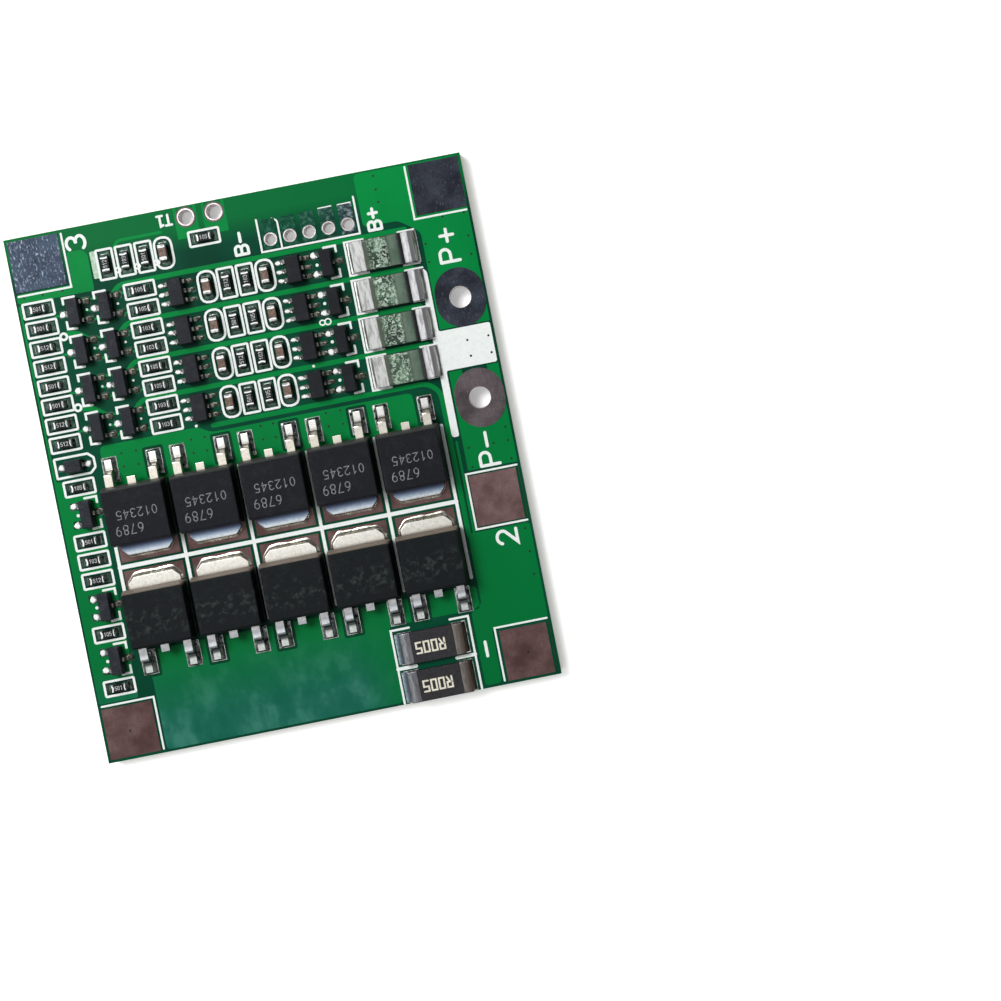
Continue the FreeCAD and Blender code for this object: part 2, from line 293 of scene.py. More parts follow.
def piece(name, mesh, material, smooth=False):
    """Turns a mesh drawn in board millimetres into an object that rides with the board."""
    bmesh.ops.recalc_face_normals(mesh, faces=mesh.faces)
    bmesh.ops.transform(mesh, matrix=board_to_frame, verts=mesh.verts)
    data = bpy.data.meshes.new(name)
    mesh.to_mesh(data)
    mesh.free()
    data.materials.append(material)
    if smooth:
        data.shade_smooth()
        data.set_sharp_from_angle(angle=math.radians(50))
    thing = bpy.data.objects.new(name, data)
    bpy.context.scene.collection.objects.link(thing)
    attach(thing, "root")


def mask_piece(name, mesh, material):
    """A layer on the board's face."""
    piece(name, mesh, material)


def tinned_piece(name, mesh, material, smooth=True):
    """Solder or plating."""
    piece(name, mesh, material, smooth)


# Materials
def tint(red, green, blue):
    """A screen colour of 0 to 255 as the linear colour that a shader takes."""
    channels = []
    for value in (red, green, blue):
        share = value / 255
        channels.append(share / 12.92 if share <= 0.04045 else ((share + 0.055) / 1.055) ** 2.4)
    return (*channels, 1.0)


def shade(value):
    """A socket's colour from a level, a screen colour of 0 to 255 or a linear colour of four values."""
    if not isinstance(value, tuple):
        return (value, value, value, 1.0)
    return value if len(value) == 4 else tint(*value)


class Nodes:
    """Node chains that the finishes and the room share."""

    def __init__(self, tree):
        self.tree = tree

    def feed(self, socket, value):
        """Links a socket to another one, or sets it to a constant."""
        if isinstance(value, bpy.types.NodeSocket):
            self.tree.links.new(value, socket)
        else:
            socket.default_value = value

    def node(self, kind, **inputs):
        """A node with some inputs fed; an underscore in a name stands for a space."""
        made = self.tree.nodes.new(kind)
        for name, value in inputs.items():
            self.feed(made.inputs[name.replace("_", " ")], value)
        return made

    def maths(self, operation, *values):
        made = self.node("ShaderNodeMath")
        made.operation = operation
        for socket, value in zip(made.inputs, values):
            self.feed(socket, value)
        return made.outputs[0]

    def ramp(self, factor, *stops):
        """Colours or levels spread along a factor, each stop a place and a value."""
        made = self.node("ShaderNodeValToRGB", Fac=factor)
        elements = made.color_ramp.elements
        while len(elements) < len(stops):
            elements.new(0.5)
        for element, (place, value) in zip(elements, stops):
            element.position = place
            element.color = shade(value)
        return made.outputs["Color"]

    def mix(self, factor, first, second):
        """A colour between two others."""
        made = self.tree.nodes.new("ShaderNodeMix")
        made.data_type = "RGBA"
        for index, value in ((0, factor), (6, first), (7, second)):
            self.feed(made.inputs[index], shade(value) if isinstance(value, tuple) else value)
        return made.outputs[2]


class Finish(Nodes):
    """A Principled material and the node chains that the finishes share."""

    def __init__(self, name, colour, roughness, metallic=0.0, specular=0.5):
        self.material = bpy.data.materials.new(name)
        self.material.use_nodes = True
        super().__init__(self.material.node_tree)
        self.shader = self.tree.nodes["Principled BSDF"]
        self.shader.inputs["Base Color"].default_value = shade(colour)
        self.shader.inputs["Roughness"].default_value = roughness
        self.shader.inputs["Metallic"].default_value = metallic
        self.shader.inputs["Specular IOR Level"].default_value = specular
        self.place = self.node("ShaderNodeTexCoord").outputs["Object"]

    def stretched(self, scale, turn=0.0):
        """Object coordinates squeezed along one direction, for grain and streaks."""
        made = self.node("ShaderNodeMapping", Vector=self.place, Scale=scale, Rotation=(0.0, 0.0, turn))
        return made.outputs["Vector"]

    def noise(self, grain, detail=3.0, vector=None, roughness=0.55):
        """Noise whose features are about that many millimetres across."""
        made = self.node(
            "ShaderNodeTexNoise", Vector=vector or self.place, Scale=1 / (grain * MM),
            Detail=detail, Roughness=roughness,
        )
        return made.outputs["Fac"]

    def along(self, axis, low, high):
        """A factor from 0 to 1 between two places on the board, across it for axis 0 and up it for 1."""
        split = self.node("ShaderNodeSeparateXYZ", Vector=self.place)
        start = corner[axis] + low * MM
        end = corner[axis] + high * MM
        made = self.node("ShaderNodeMapRange", Value=split.outputs[axis], From_Min=start, From_Max=end)
        return made.outputs["Result"]

    def facing(self, axis, start, end):
        """A factor from 0 to 1 as a face turns towards an axis of the board."""
        normal = self.node("ShaderNodeNewGeometry").outputs["Normal"]
        split = self.node("ShaderNodeSeparateXYZ", Vector=normal)
        return self.ramp(split.outputs[axis], (start, 0.0), (end, 1.0))

    def colour(self, source):
        self.feed(self.shader.inputs["Base Color"], source)

    def roughness(self, source):
        self.feed(self.shader.inputs["Roughness"], source)

    def bump(self, height, depth):
        """Relief that many millimetres deep."""
        made = self.node("ShaderNodeBump", Height=height, Strength=1.0, Distance=depth * MM)
        self.feed(self.shader.inputs["Normal"], made.outputs["Normal"])


def mask_film(name, colour):
    """Solder mask before its clouds: a film with fine orange peel."""
    finish = Finish(name, colour, 0.4, specular=0.05)
    finish.roughness(finish.ramp(finish.noise(1.2, 4.0), (0.3, 0.3), (0.75, 0.44)))
    finish.bump(finish.noise(0.5, 3.0), 0.005)
    return finish


def clouded(finish, dark, light):
    """Wide soft clouds between two greens."""
    return finish.ramp(finish.noise(9.0, 3.0), (0.36, dark), (0.62, light))


def mask_finish(name, dark, light):
    """Green solder mask: an uneven film."""
    finish = mask_film(name, light)
    finish.colour(clouded(finish, dark, light))
    return finish.material


def pour_finish():
    """Mask over copper: brighter towards the top, with bluish smears in the wide area at the bottom."""
    finish = mask_film("mask_over_copper", (3, 134, 66))
    rise = finish.along(1, 4.0, 50.0)
    cloud = finish.noise(9.0, 3.0)
    green = finish.mix(rise, (1, 112, 54), (2, 142, 66))
    green = finish.mix(finish.ramp(cloud, (0.36, 0.3), (0.6, 0.0)), green, (1, 104, 52))
    lower = finish.ramp(finish.along(1, 0.0, 10.0), (0.25, 1.0), (0.95, 0.0))
    left = finish.ramp(finish.along(0, 5.0, 40.0), (0.62, 1.0), (0.75, 0.0))
    wash = finish.maths("MULTIPLY", lower, left)
    smears = finish.noise(2.2, 3.0, finish.stretched((1.0, 0.7, 1.0)))
    blue = finish.ramp(smears, (0.34, (20, 97, 78)), (0.5, (30, 104, 86)), (0.68, (56, 126, 108)))
    finish.colour(finish.mix(wash, green, blue))
    return finish.material


def board_finish():
    """Dark green mask on the faces and bare laminate on the cut edges and in the holes."""
    dark = (2, 60, 42)
    light = (3, 76, 52)
    finish = mask_film("mask_over_laminate", light)
    mask = clouded(finish, dark, light)
    normal = finish.node("ShaderNodeNewGeometry").outputs["Normal"]
    upright = finish.node("ShaderNodeSeparateXYZ", Vector=normal).outputs["Z"]
    edge = finish.ramp(finish.maths("ABSOLUTE", upright), (0.4, 1.0), (0.6, 0.0))
    weave = finish.noise(0.12, 2.0, finish.stretched((0.12, 0.12, 1.0)))
    laminate = finish.ramp(weave, (0.3, (128, 140, 84)), (0.7, (198, 204, 150)))
    upper_strip = finish.ramp(finish.along(1, 49.8, 52.4), (0.0, 0.0), (1.0, 0.9))
    upper_face = finish.mix(upper_strip, mask, (2, 114, 56))
    mask = finish.mix(finish.facing(2, 0.4, 0.6), mask, upper_face)
    finish.colour(finish.mix(edge, mask, laminate))
    return finish.material


def copper_finish(name, dark, light, scratch, scratched):
    """Bare, tarnished copper: fine brushing both ways, soft stains and pale scratches."""
    finish = Finish(name, light, 0.45, metallic=0.55, specular=0.3)
    along = finish.noise(0.12, 4.0, finish.stretched((1.0, 0.16, 1.0)), 0.7)
    across = finish.noise(0.12, 4.0, finish.stretched((0.16, 1.0, 1.0)), 0.7)
    stains = finish.noise(2.4, 4.0)
    base = finish.mix(finish.ramp(stains, (0.36, 0.0), (0.64, 1.0)), dark, light)
    brushed = finish.mix(finish.ramp(along, (0.38, 0.4), (0.62, 0.0)), base, dark)
    brushed = finish.mix(finish.ramp(across, (0.4, 0.3), (0.6, 0.0)), brushed, dark)
    marks = finish.noise(0.16, 5.0, finish.stretched((1.0, 0.4, 1.0), 0.5), 0.75)
    scratches = finish.ramp(marks, (scratched, 0.0), (scratched + 0.1, 0.75))
    finish.colour(finish.mix(scratches, brushed, scratch))
    finish.roughness(finish.ramp(stains, (0.3, 0.38), (0.7, 0.56)))
    finish.bump(along, 0.004)
    return finish.material


def tin_finish(name, grain, depth, dark, light, smooth, rough, metallic=1.0):
    """Tin or solder: bright metal with a lumpy skin and duller patches."""
    finish = Finish(name, light, smooth, metallic=metallic)
    patches = finish.noise(grain * 2.5, 4.0)
    finish.colour(finish.ramp(patches, (0.34, dark), (0.6, light)))
    finish.roughness(finish.ramp(finish.noise(grain, 3.0), (0.3, smooth), (0.7, rough)))
    finish.bump(finish.noise(grain, 4.0), depth)
    return finish.material


def striped_tin_finish(name, axis, ends, stops, grain, depth, streak=(1.0, 1.0, 1.0), worn=0.6):
    """Plated metal with light and shade painted in: its shade changes from place to place between two ends,
    with fine grain.
    """
    finish = Finish(name, stops[0][1], 0.34, metallic=1.0)
    base = finish.ramp(finish.along(axis, *ends), *stops)
    skin = finish.noise(grain, 4.0, finish.stretched(streak), 0.65)
    finish.colour(finish.mix(finish.ramp(skin, (0.36, worn), (0.56, 0.0)), base, (96, 94, 98)))
    finish.roughness(finish.ramp(skin, (0.3, 0.42), (0.7, 0.3)))
    finish.bump(skin, depth)
    return finish.material


def moulding_finish(name, dark, light, smudge, rub, lit=None, band=None, fade=None):
    """Black moulding compound: fine grain, grey rubs, and where given a painted highlight on the faces
    turned up the board, a worn band and a darkening towards the right.
    """
    finish = Finish(name, light, 0.5, specular=0.12)
    grain = finish.noise(0.07, 3.0)
    base = finish.ramp(grain, (0.34, dark), (0.66, light))
    marks = finish.ramp(finish.noise(0.7 if band else 1.3, 6.0, roughness=0.7), (0.5, 0.0), (0.66, rub))
    if band:
        worn = finish.ramp(finish.along(1, *band), (0.0, 0.0), (0.3, 1.0), (0.7, 1.0), (1.0, 0.15))
        marks = finish.mix(worn, (0, 0, 0), marks)
    base = finish.mix(marks, base, smudge)
    if fade:
        across = finish.ramp(finish.along(0, *fade), (0.0, 0.0), (1.0, 0.8))
        base = finish.mix(across, base, dark)
    # Painted highlight: faces turned up the board take a paler colour
    if lit:
        base = finish.mix(finish.facing(1, 0.2, 0.5), base, lit)
    finish.colour(base)
    finish.roughness(finish.ramp(grain, (0.3, 0.42), (0.7, 0.6)))
    finish.bump(grain, 0.012)
    return finish.material


def plain_finish(name, dark, light, roughness, grain, depth, specular=0.3):
    """Ink or ceramic with slight mottling and tooth."""
    finish = Finish(name, light, roughness, specular=specular)
    mottle = finish.noise(grain, 4.0)
    finish.colour(finish.ramp(mottle, (0.32, dark), (0.62, light)))
    finish.roughness(finish.ramp(mottle, (0.3, roughness + 0.12), (0.7, roughness - 0.05)))
    finish.bump(mottle, depth)
    return finish.material


def glaze_finish():
    """Glossy green glaze of the balance resistors: dark on the left, curdled in the middle with painted
    highlights, else plain with a paler stripe painted as a highlight.
    """
    finish = Finish("balance_glaze", (70, 96, 80), 0.2)
    cloud = finish.noise(1.3, 4.0, finish.stretched((1.0, 0.6, 1.0)), 0.6)
    curds = finish.noise(0.62, 4.0, roughness=0.6)
    # The palest greens of these clouds are painted highlights
    base = finish.ramp(
        cloud, (0.34, (14, 40, 24)), (0.45, (40, 82, 50)), (0.54, (90, 124, 96)), (0.66, (150, 178, 154)),
    )
    veins = finish.ramp(curds, (0.5, 0.0), (0.53, 0.85), (0.58, 0.0))
    base = finish.mix(veins, base, (20, 40, 26))
    # Painted highlights: pale blotches stand in for the glaze's reflections
    marks = finish.ramp(curds, (0.4, 0.0), (0.45, 0.95), (0.49, 0.0), (0.6, 0.0), (0.64, 1.0))
    curdled_painted_highlights = finish.mix(marks, base, (200, 216, 200))
    across = finish.along(0, 35.8, 39.3)
    # Plain part, with a paler stripe painted as the glaze's highlight
    plain = finish.ramp(
        across, (0.0, (70, 84, 62)), (0.1, (48, 62, 46)), (0.68, (62, 78, 60)),
        (0.74, (98, 120, 102)), (0.94, (90, 112, 96)), (1.0, (58, 74, 62)),
    )
    plain = finish.mix(finish.ramp(cloud, (0.4, 0.35), (0.62, 0.0)), plain, (44, 66, 50))
    sides = finish.ramp(across, (0.06, 1.0), (0.16, 0.0), (0.64, 0.0), (0.7, 1.0))
    finish.colour(finish.mix(sides, curdled_painted_highlights, plain))
    finish.roughness(finish.ramp(cloud, (0.3, 0.16), (0.7, 0.34)))
    finish.bump(curds, 0.02)
    return finish.material


def header_finish():
    """Header lands: dull copper on the right that fades under stained mask towards the left."""
    finish = Finish("header_copper", (60, 78, 80), 0.45, specular=0.05)
    cloud = finish.noise(0.45, 5.0, roughness=0.7)
    copper = finish.ramp(cloud, (0.36, (20, 36, 42)), (0.5, (56, 74, 80)), (0.66, (150, 164, 168)))
    green = finish.ramp(cloud, (0.34, (4, 62, 46)), (0.52, (5, 84, 56)), (0.68, (26, 104, 80)))
    bare = finish.ramp(finish.along(0, 25.6, 35.6), (0.3, 0.1), (0.6, 0.2), (0.78, 0.55), (0.92, 0.95))
    finish.colour(finish.mix(bare, green, copper))
    finish.roughness(finish.ramp(cloud, (0.3, 0.38), (0.7, 0.5)))
    finish.bump(cloud, 0.006)
    return finish.material


board_material = board_finish()
pour_material = pour_finish()
gap_material = mask_finish("mask_gap", (2, 62, 38), (3, 72, 44))
bed_material = mask_finish("mask_round_chips", (2, 38, 28), (4, 54, 40))
silk_material = plain_finish("silk_ink", (238, 246, 242), (250, 253, 251), 0.55, 0.3, 0.003)
pale_ink = plain_finish("thin_ink", (150, 190, 160), (206, 226, 206), 0.55, 0.4, 0.004)
brown_copper = copper_finish("bare_copper", (84, 60, 58), (122, 96, 94), (156, 138, 134), 0.68)
blue_copper = copper_finish("scuffed_copper", (30, 40, 56), (64, 80, 98), (150, 164, 180), 0.55)
dark_copper = copper_finish("dark_copper", (28, 32, 42), (64, 69, 82), (120, 124, 134), 0.6)
middle_copper = copper_finish("middle_copper", (100, 74, 74), (142, 114, 114), (172, 152, 150), 0.66)
ring_copper = copper_finish("ring_copper", (66, 62, 60), (104, 98, 94), (150, 144, 140), 0.64)
warm_copper = copper_finish("warm_copper", (70, 62, 64), (112, 102, 106), (146, 140, 140), 0.62)
header_copper = header_finish()

# Stops of the striped finishes: the share of the way between the ends, and the shade there, which paints
# highlights, shaded bends and cast shadows into the metal
# Painted shadow of the case on the tab next to it, a painted dark line at each lead's bend, and painted
# highlights on shoulder and foot
upper_lead_tin_painted_light = striped_tin_finish("upper_tab_and_lead_painted_light", 1, (20.6, 30.5), (
    (0.0, (190, 190, 192)), (0.018, (206, 214, 220)), (0.04, (164, 178, 193)), (0.062, (118, 132, 156)),
    (0.083, (72, 82, 104)), (0.1, (44, 50, 64)), (0.7, (120, 112, 104)), (0.74, (218, 212, 198)),
    (0.86, (214, 208, 196)), (0.885, (104, 96, 88)), (0.92, (226, 224, 220)), (1.0, (236, 234, 230)),
), 0.3, 0.004, worn=0.2)
# Painted shade at the bend of each lead, and painted highlights on the foot and on the tab
lower_lead_tin_painted_light = striped_tin_finish("lower_tab_and_lead_painted_light", 1, (8.4, 18.3), (
    (0.0, (206, 210, 206)), (0.055, (212, 216, 212)), (0.085, (66, 70, 70)), (0.12, (96, 100, 102)),
    (0.16, (216, 220, 224)), (0.185, (218, 220, 224)), (0.215, (170, 172, 176)), (0.26, (190, 190, 190)),
    (0.8, (196, 192, 182)), (0.9, (226, 222, 212)), (1.0, (236, 234, 226)),
), 0.3, 0.004, worn=0.2)
# Painted shadow in the gap before the right terminal and at its end, a painted darker left edge, and
# painted highlights on the terminal tops
balance_tin_painted_light = striped_tin_finish("balance_plate_painted_light", 0, (34.0, 41.0), (
    (0.0, (150, 152, 152)), (0.06, (198, 200, 198)), (0.25, (206, 207, 204)), (0.78, (58, 56, 56)),
    (0.812, (180, 181, 180)), (0.836, (232, 232, 234)), (0.898, (230, 230, 232)),
    (0.916, (104, 104, 106)), (0.96, (112, 112, 112)), (0.985, (180, 180, 178)),
), 0.26, 0.012, (1.0, 0.22, 1.0))
# Painted bluish reflection at the left end, a painted bright band, and painted shade darkening towards the
# right end
shunt_tin_painted_light = striped_tin_finish("shunt_plate_painted_light", 0, (31.4, 38.4), (
    (0.0, (124, 140, 152)), (0.05, (132, 140, 146)), (0.09, (172, 170, 173)), (0.13, (122, 122, 128)),
    (0.78, (120, 114, 107)), (0.83, (142, 135, 127)), (0.88, (118, 112, 104)), (0.93, (84, 72, 62)),
    (1.0, (78, 70, 60)),
), 0.2, 0.014, (1.0, 0.25, 1.0))
# Painted bluish highlight on the left slopes and painted brown shade on the right ones
shunt_solder_painted_light = striped_tin_finish("shunt_solder_painted_light", 0, (30.8, 38.8), (
    (0.0, (220, 238, 242)), (0.05, (170, 190, 200)), (0.09, (104, 118, 128)),
    (0.86, (128, 118, 106)), (0.92, (84, 68, 54)), (1.0, (66, 60, 50)),
), 0.16, 0.03, (1.0, 0.4, 1.0))

chip_tin = tin_finish("chip_plate", 0.2, 0.01, (24, 34, 32), (88, 98, 94), 0.26, 0.4)
cap_tin = tin_finish("capacitor_plate", 0.2, 0.01, (96, 98, 96), (196, 196, 192), 0.26, 0.4)
# Painted shade: the small leads' plate is darkened to stand in for the cases' shadow over the right-hand
# leads
lead_tin_painted_shade = tin_finish("small_lead_plate_painted_shade", 0.16, 0.01, (30, 34, 32), (128, 128, 122), 0.4, 0.55, 0.6)
barrel_tin = tin_finish("hole_barrel", 0.3, 0.006, (150, 142, 140), (206, 200, 200), 0.3, 0.45)
# Painted light on solder: bright lumps and chip bands in a painted highlight, dull lumps in painted shade,
# and thin painted glints
solder_painted_highlight = tin_finish("solder_painted_highlight", 0.3, 0.008, (240, 242, 244), (253, 253, 253), 0.4, 0.5, 0.1)
solder_painted_shade = tin_finish("solder_painted_shade", 0.1, 0.02, (10, 20, 14), (70, 72, 58), 0.6, 0.75, 0.1)
painted_glint_tin = tin_finish("solder_glint", 0.12, 0.01, (60, 60, 50), (206, 198, 172), 0.4, 0.5, 0.3)
balance_solder = tin_finish("resistor_end_solder", 0.6, 0.003, (150, 150, 146), (222, 222, 218), 0.3, 0.4)
foot_solder = tin_finish("lead_solder", 0.16, 0.03, (12, 14, 14), (176, 178, 178), 0.25, 0.42)
# Painted dark reflection: the solder at the chip ends is coloured dark green-grey, standing in for the dark
# surroundings mirrored in it
chip_end_solder = tin_finish("chip_end_solder", 0.16, 0.02, (18, 34, 30), (132, 142, 136), 0.26, 0.45)
rim_solder = tin_finish("rim_solder", 0.5, 0.006, (186, 182, 166), (240, 237, 226), 0.24, 0.36)
solder_material = tin_finish("solder", 0.35, 0.014, (76, 74, 72), (226, 226, 226), 0.16, 0.34)
# Painted dark reflection: the pads are coloured dark green, standing in for the dark surroundings mirrored
# in their solder
pad_material = tin_finish("pad_painted_dark_reflection", 0.25, 0.012, (14, 38, 28), (58, 78, 68), 0.35, 0.55)

# The power transistor mouldings carry a painted highlight on their faces turned up the board
moulding_material = moulding_finish(
    "moulding", (16, 17, 22), (32, 33, 40), (62, 68, 68), 0.14, lit=(60, 64, 60),
)
worn_moulding_painted_lit = moulding_finish(
    "worn_moulding_painted_lit", (13, 17, 18), (26, 31, 34), (84, 98, 92), 0.36, lit=(122, 110, 98), band=(12.0, 15.4),
)
small_moulding = moulding_finish(
    "small_moulding", (20, 22, 26), (54, 58, 66), (84, 86, 88), 0.3, fade=(4.0, 34.0),
)
resistor_black = plain_finish("resistor_glaze", (10, 13, 16), (24, 27, 30), 0.3, 0.3, 0.01, 0.15)
shunt_black = plain_finish("shunt_coat", (38, 37, 40), (54, 52, 56), 0.42, 0.2, 0.012, 0.2)
capacitor_tan = plain_finish("capacitor_body", (84, 66, 56), (132, 108, 94), 0.4, 0.25, 0.01)
value_ink = plain_finish("value_ink", (150, 156, 154), (206, 210, 206), 0.5, 0.2, 0.003)
laser_mark = plain_finish("laser_mark", (96, 96, 98), (146, 146, 148), 0.6, 0.2, 0.003)
cream_ink = plain_finish("shunt_ink", (214, 208, 188), (242, 238, 220), 0.5, 0.2, 0.003)
# Painted shade: dark discs stand in for the inside of the via holes
via_painted_shade = plain_finish("via_hole", (4, 24, 16), (10, 36, 24), 0.5, 0.1, 0.003)
glaze_material = glaze_finish()

node_materials = {
    "circuit_board": board_material,
    "top_left_tab_land": blue_copper,
    "top_right_tab_land": dark_copper,
    "middle_right_tab_land": middle_copper,
    "bottom_left_tab_land": brown_copper,
    "bottom_right_tab_land": brown_copper,
    "positive_power_lands": dark_copper,
    "negative_power_lands": warm_copper,
    "header_lands": header_copper,
    "thermistor_lands": ring_copper,
    "drain_lands": brown_copper,
    "lead_lands": solder_material,
    "power_chip_lands": solder_material,
    "chip_resistor_cores": resistor_black,
    "chip_capacitor_cores": capacitor_tan,
    "chip_resistor_terminals": chip_tin,
    "chip_capacitor_terminals": cap_tin,
    "diode_case": small_moulding,
}

# For the other nodes: two parts of the name, the finish and the width of the bevel
kinds = (
    ("upper_mosfet", "leads", upper_lead_tin_painted_light, 0.06),
    ("lower_mosfet", "leads", lower_lead_tin_painted_light, 0.06),
    ("upper_mosfet", "case", moulding_material, 0.18),
    ("lower_mosfet", "case", worn_moulding_painted_lit, 0.6),
    ("resistor_", "_core", shunt_black, 0.03),
    ("balance_resistor_", "_terminals", balance_tin_painted_light, 0.12),
    ("shunt_resistor_", "_terminals", shunt_tin_painted_light, 0.06),
    ("", "_leads", lead_tin_painted_shade, 0.0),
    ("", "_cases", small_moulding, 0.08),
)

# Bevels of the nodes with a finish of their own
soft_edges = {"chip_resistor_terminals": 0.03, "chip_capacitor_terminals": 0.05, "diode_case": 0.04}


def soften(thing, width):
    """Takes the sharp edges off a CAD node without touching its mesh."""
    weld = thing.modifiers.new("weld", "WELD")
    weld.merge_threshold = 1e-7
    bevel = thing.modifiers.new("bevel", "BEVEL")
    bevel.width = width * MM
    bevel.segments = 2
    bevel.limit_method = "ANGLE"
    bevel.angle_limit = math.radians(30)


def dress_nodes():
    """Gives every CAD node the finish and the edges of its kind."""
    for name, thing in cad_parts.items():
        finish = node_materials.get(name)
        width = soft_edges.get(name, 0.0)
        if finish is None:
            finish, width = next(kind[2:] for kind in kinds if kind[0] in name and kind[1] in name)
        if not thing.material_slots:
            thing.data.materials.append(finish)
        for place in thing.material_slots:
            place.link = "OBJECT"
            place.material = finish
        if width:
            soften(thing, width)


# Lettering: each character is drawn with strokes in a cell 0.6 wide and 1 high
cell_width = 0.6


def bowl(low, high):
    """Round side of a P or a B."""
    radius = (high - low) / 2
    curve = bow(cell_width - radius * 0.9, (low + high) / 2, radius * 0.9, radius, 90, -90, 8)
    return [(0.0, high)] + curve + [(0.0, low)]


strokes = {
    "0": [bow(0.3, 0.5, 0.28, 0.5, 90, 450, 16)],
    "1": [[(0.12, 0.78), (0.34, 1.0), (0.34, 0.0)]],
    "footed_1": [[(0.08, 0.92), (0.34, 1.0), (0.34, 0.0)], [(0.06, 0.0), (0.6, 0.0)]],
    "2": [bow(0.3, 0.71, 0.29, 0.29, 165, -35, 9) + [(0.0, 0.0), (0.6, 0.0)]],
    "3": [bow(0.28, 0.74, 0.28, 0.26, 150, -80, 10), bow(0.28, 0.26, 0.31, 0.26, 80, -150, 10)],
    "4": [[(0.44, 0.0), (0.44, 1.0), (0.0, 0.3), (0.6, 0.3)]],
    "5": [[(0.55, 1.0), (0.08, 1.0), (0.05, 0.56)] + bow(0.27, 0.31, 0.31, 0.31, 120, -145, 9)],
    "6": [bow(0.3, 0.3, 0.28, 0.3, 90, 450, 14), bow(0.56, 0.3, 0.54, 0.7, 110, 180, 6)],
    "7": [[(0.0, 1.0), (0.6, 1.0), (0.2, 0.0)]],
    "8": [bow(0.3, 0.76, 0.24, 0.24, 90, 450, 14), bow(0.3, 0.27, 0.29, 0.27, 90, 450, 14)],
    "9": [bow(0.3, 0.7, 0.28, 0.3, 90, 450, 14), bow(0.04, 0.7, 0.54, 0.7, 0, -70, 6)],
    "P": [[(0.0, 0.0), (0.0, 1.0)], bowl(0.46, 1.0)],
    "B": [[(0.0, 0.0), (0.0, 1.0)], bowl(0.52, 1.0), bowl(0.0, 0.52)],
    "T": [[(0.0, 1.0), (0.6, 1.0)], [(0.3, 1.0), (0.3, 0.0)]],
    "+": [[(0.0, 0.5), (0.6, 0.5)], [(0.3, 0.2), (0.3, 0.8)]],
    "-": [[(0.0, 0.5), (0.6, 0.5)]],
    "block_R": [[(0.0, 0.0), (0.0, 1.0), (0.6, 1.0), (0.6, 0.5), (0.05, 0.5)], [(0.25, 0.5), (0.6, 0.0)]],
    "block_0": [[(0.0, 0.0), (0.0, 1.0), (0.6, 1.0), (0.6, 0.0), (0.0, 0.0)]],
    "block_5": [[(0.6, 1.0), (0.0, 1.0), (0.0, 0.55), (0.6, 0.55), (0.6, 0.0), (0.0, 0.0)]],
}


def write(mesh, text, centre, width, height, turn, stroke, low, high, spacing=0.32):
    """Characters of one height in a row, turned about the row's centre."""
    pitch = width * (1 + spacing)
    start = -((len(text) - 1) * pitch + width) / 2
    rotate = Matrix.Rotation(math.radians(turn), 2)
    origin = Vector(centre[:2])
    for index, character in enumerate(text):
        for path in strokes[character]:
            points = []
            for x, y in path:
                local = Vector((start + index * pitch + x / cell_width * width, (y - 0.5) * height))
                points.append(tuple(origin + rotate @ local))
            lift = next(lifts) / 2
            line(mesh, points, stroke, low - lift, high + lift)


# Copper under the mask

# Heights of the sense rows on the board, and half of their spacing
row_centres = sorted({round(middle(box).y, 2) for box in solids("right_transistor_cases")})
half_row = (row_centres[1] - row_centres[0]) / 2


# Corner radius and outline of each wide area
pours = (
    (0.35, [(0.2, 47.7), (8.1, 47.7), (8.1, 51.5), (7.6, 52.0), (6.0, 52.0), (6.0, 48.7), (0.2, 48.7)]),
    (0.3, [(0.2, 6.1), (4.3, 6.1), (4.3, 29.0), (0.42, 29.2), (0.42, 47.5), (0.2, 47.5)]),
    (0.6, [(5.4, 27.0), (37.7, 27.0), (37.7, 31.25), (16.8, 31.25), (15.7, 32.0), (5.4, 32.0)]),
    (0.4, [
        (39.3, 0.3), (41.05, 0.3), (41.05, 6.0), (46.95, 6.0), (46.95, 15.95), (40.5, 15.95), (40.5, 8.6),
        (39.3, 8.0),
    ]),
    (0.5, [(6.1, 0.25), (30.75, 0.25), (30.75, 8.2), (40.3, 8.2), (40.3, 10.6), (5.3, 10.6), (6.1, 7.8)]),
    (0.5, [
        (41.75, 42.5), (41.75, 47.2), (39.7, 48.75), (36.1, 48.75), (36.1, 54.2), (46.95, 54.2),
        (46.95, 42.5),
    ]),
)


def notched(low, high, hole, radius):
    """A rectangle with a round-bottomed notch from its top side down round a hole."""
    rim = bow(hole[0], hole[1], radius, radius, 0, -180, 14)
    notch = [(hole[0] + radius, high[1])] + rim + [(hole[0] - radius, high[1])]
    return [(low[0], high[1]), low, (high[0], low[1]), high] + notch


def copper_pours():
    """Wide areas of copper, some of them notched for a hole."""
    mesh = bmesh.new()
    for radius, outline in pours:
        plate(mesh, rounded(outline, radius), film_low, film_high)
    for node, low, high, lift in (
        ("negative_power_lands", (41.8, 22.3), (46.95, 32.6), 0.0),
        ("positive_power_lands", (41.75, 37.0), (46.95, 42.7), 0.001),
    ):
        hole = middle(solids(node)[-1])
        plate(mesh, notched(low, high, hole, 1.3), film_low, film_high + lift)
    for box in solids("thermistor_lands"):
        hole = middle(box)
        plate(mesh, notched((hole.x - 1.17, 51.1), (hole.x + 1.17, 54.3), hole, 0.86), film_low, film_high)
    return mesh


def trace(mesh, points, width, bend=0.0):
    """A copper track; each lies at its own height where tracks and areas overlap."""
    path = rounded(points, bend, closed=False) if bend else points
    line(mesh, path, width, film_low, film_high + 0.001 + next(lifts) / 4)


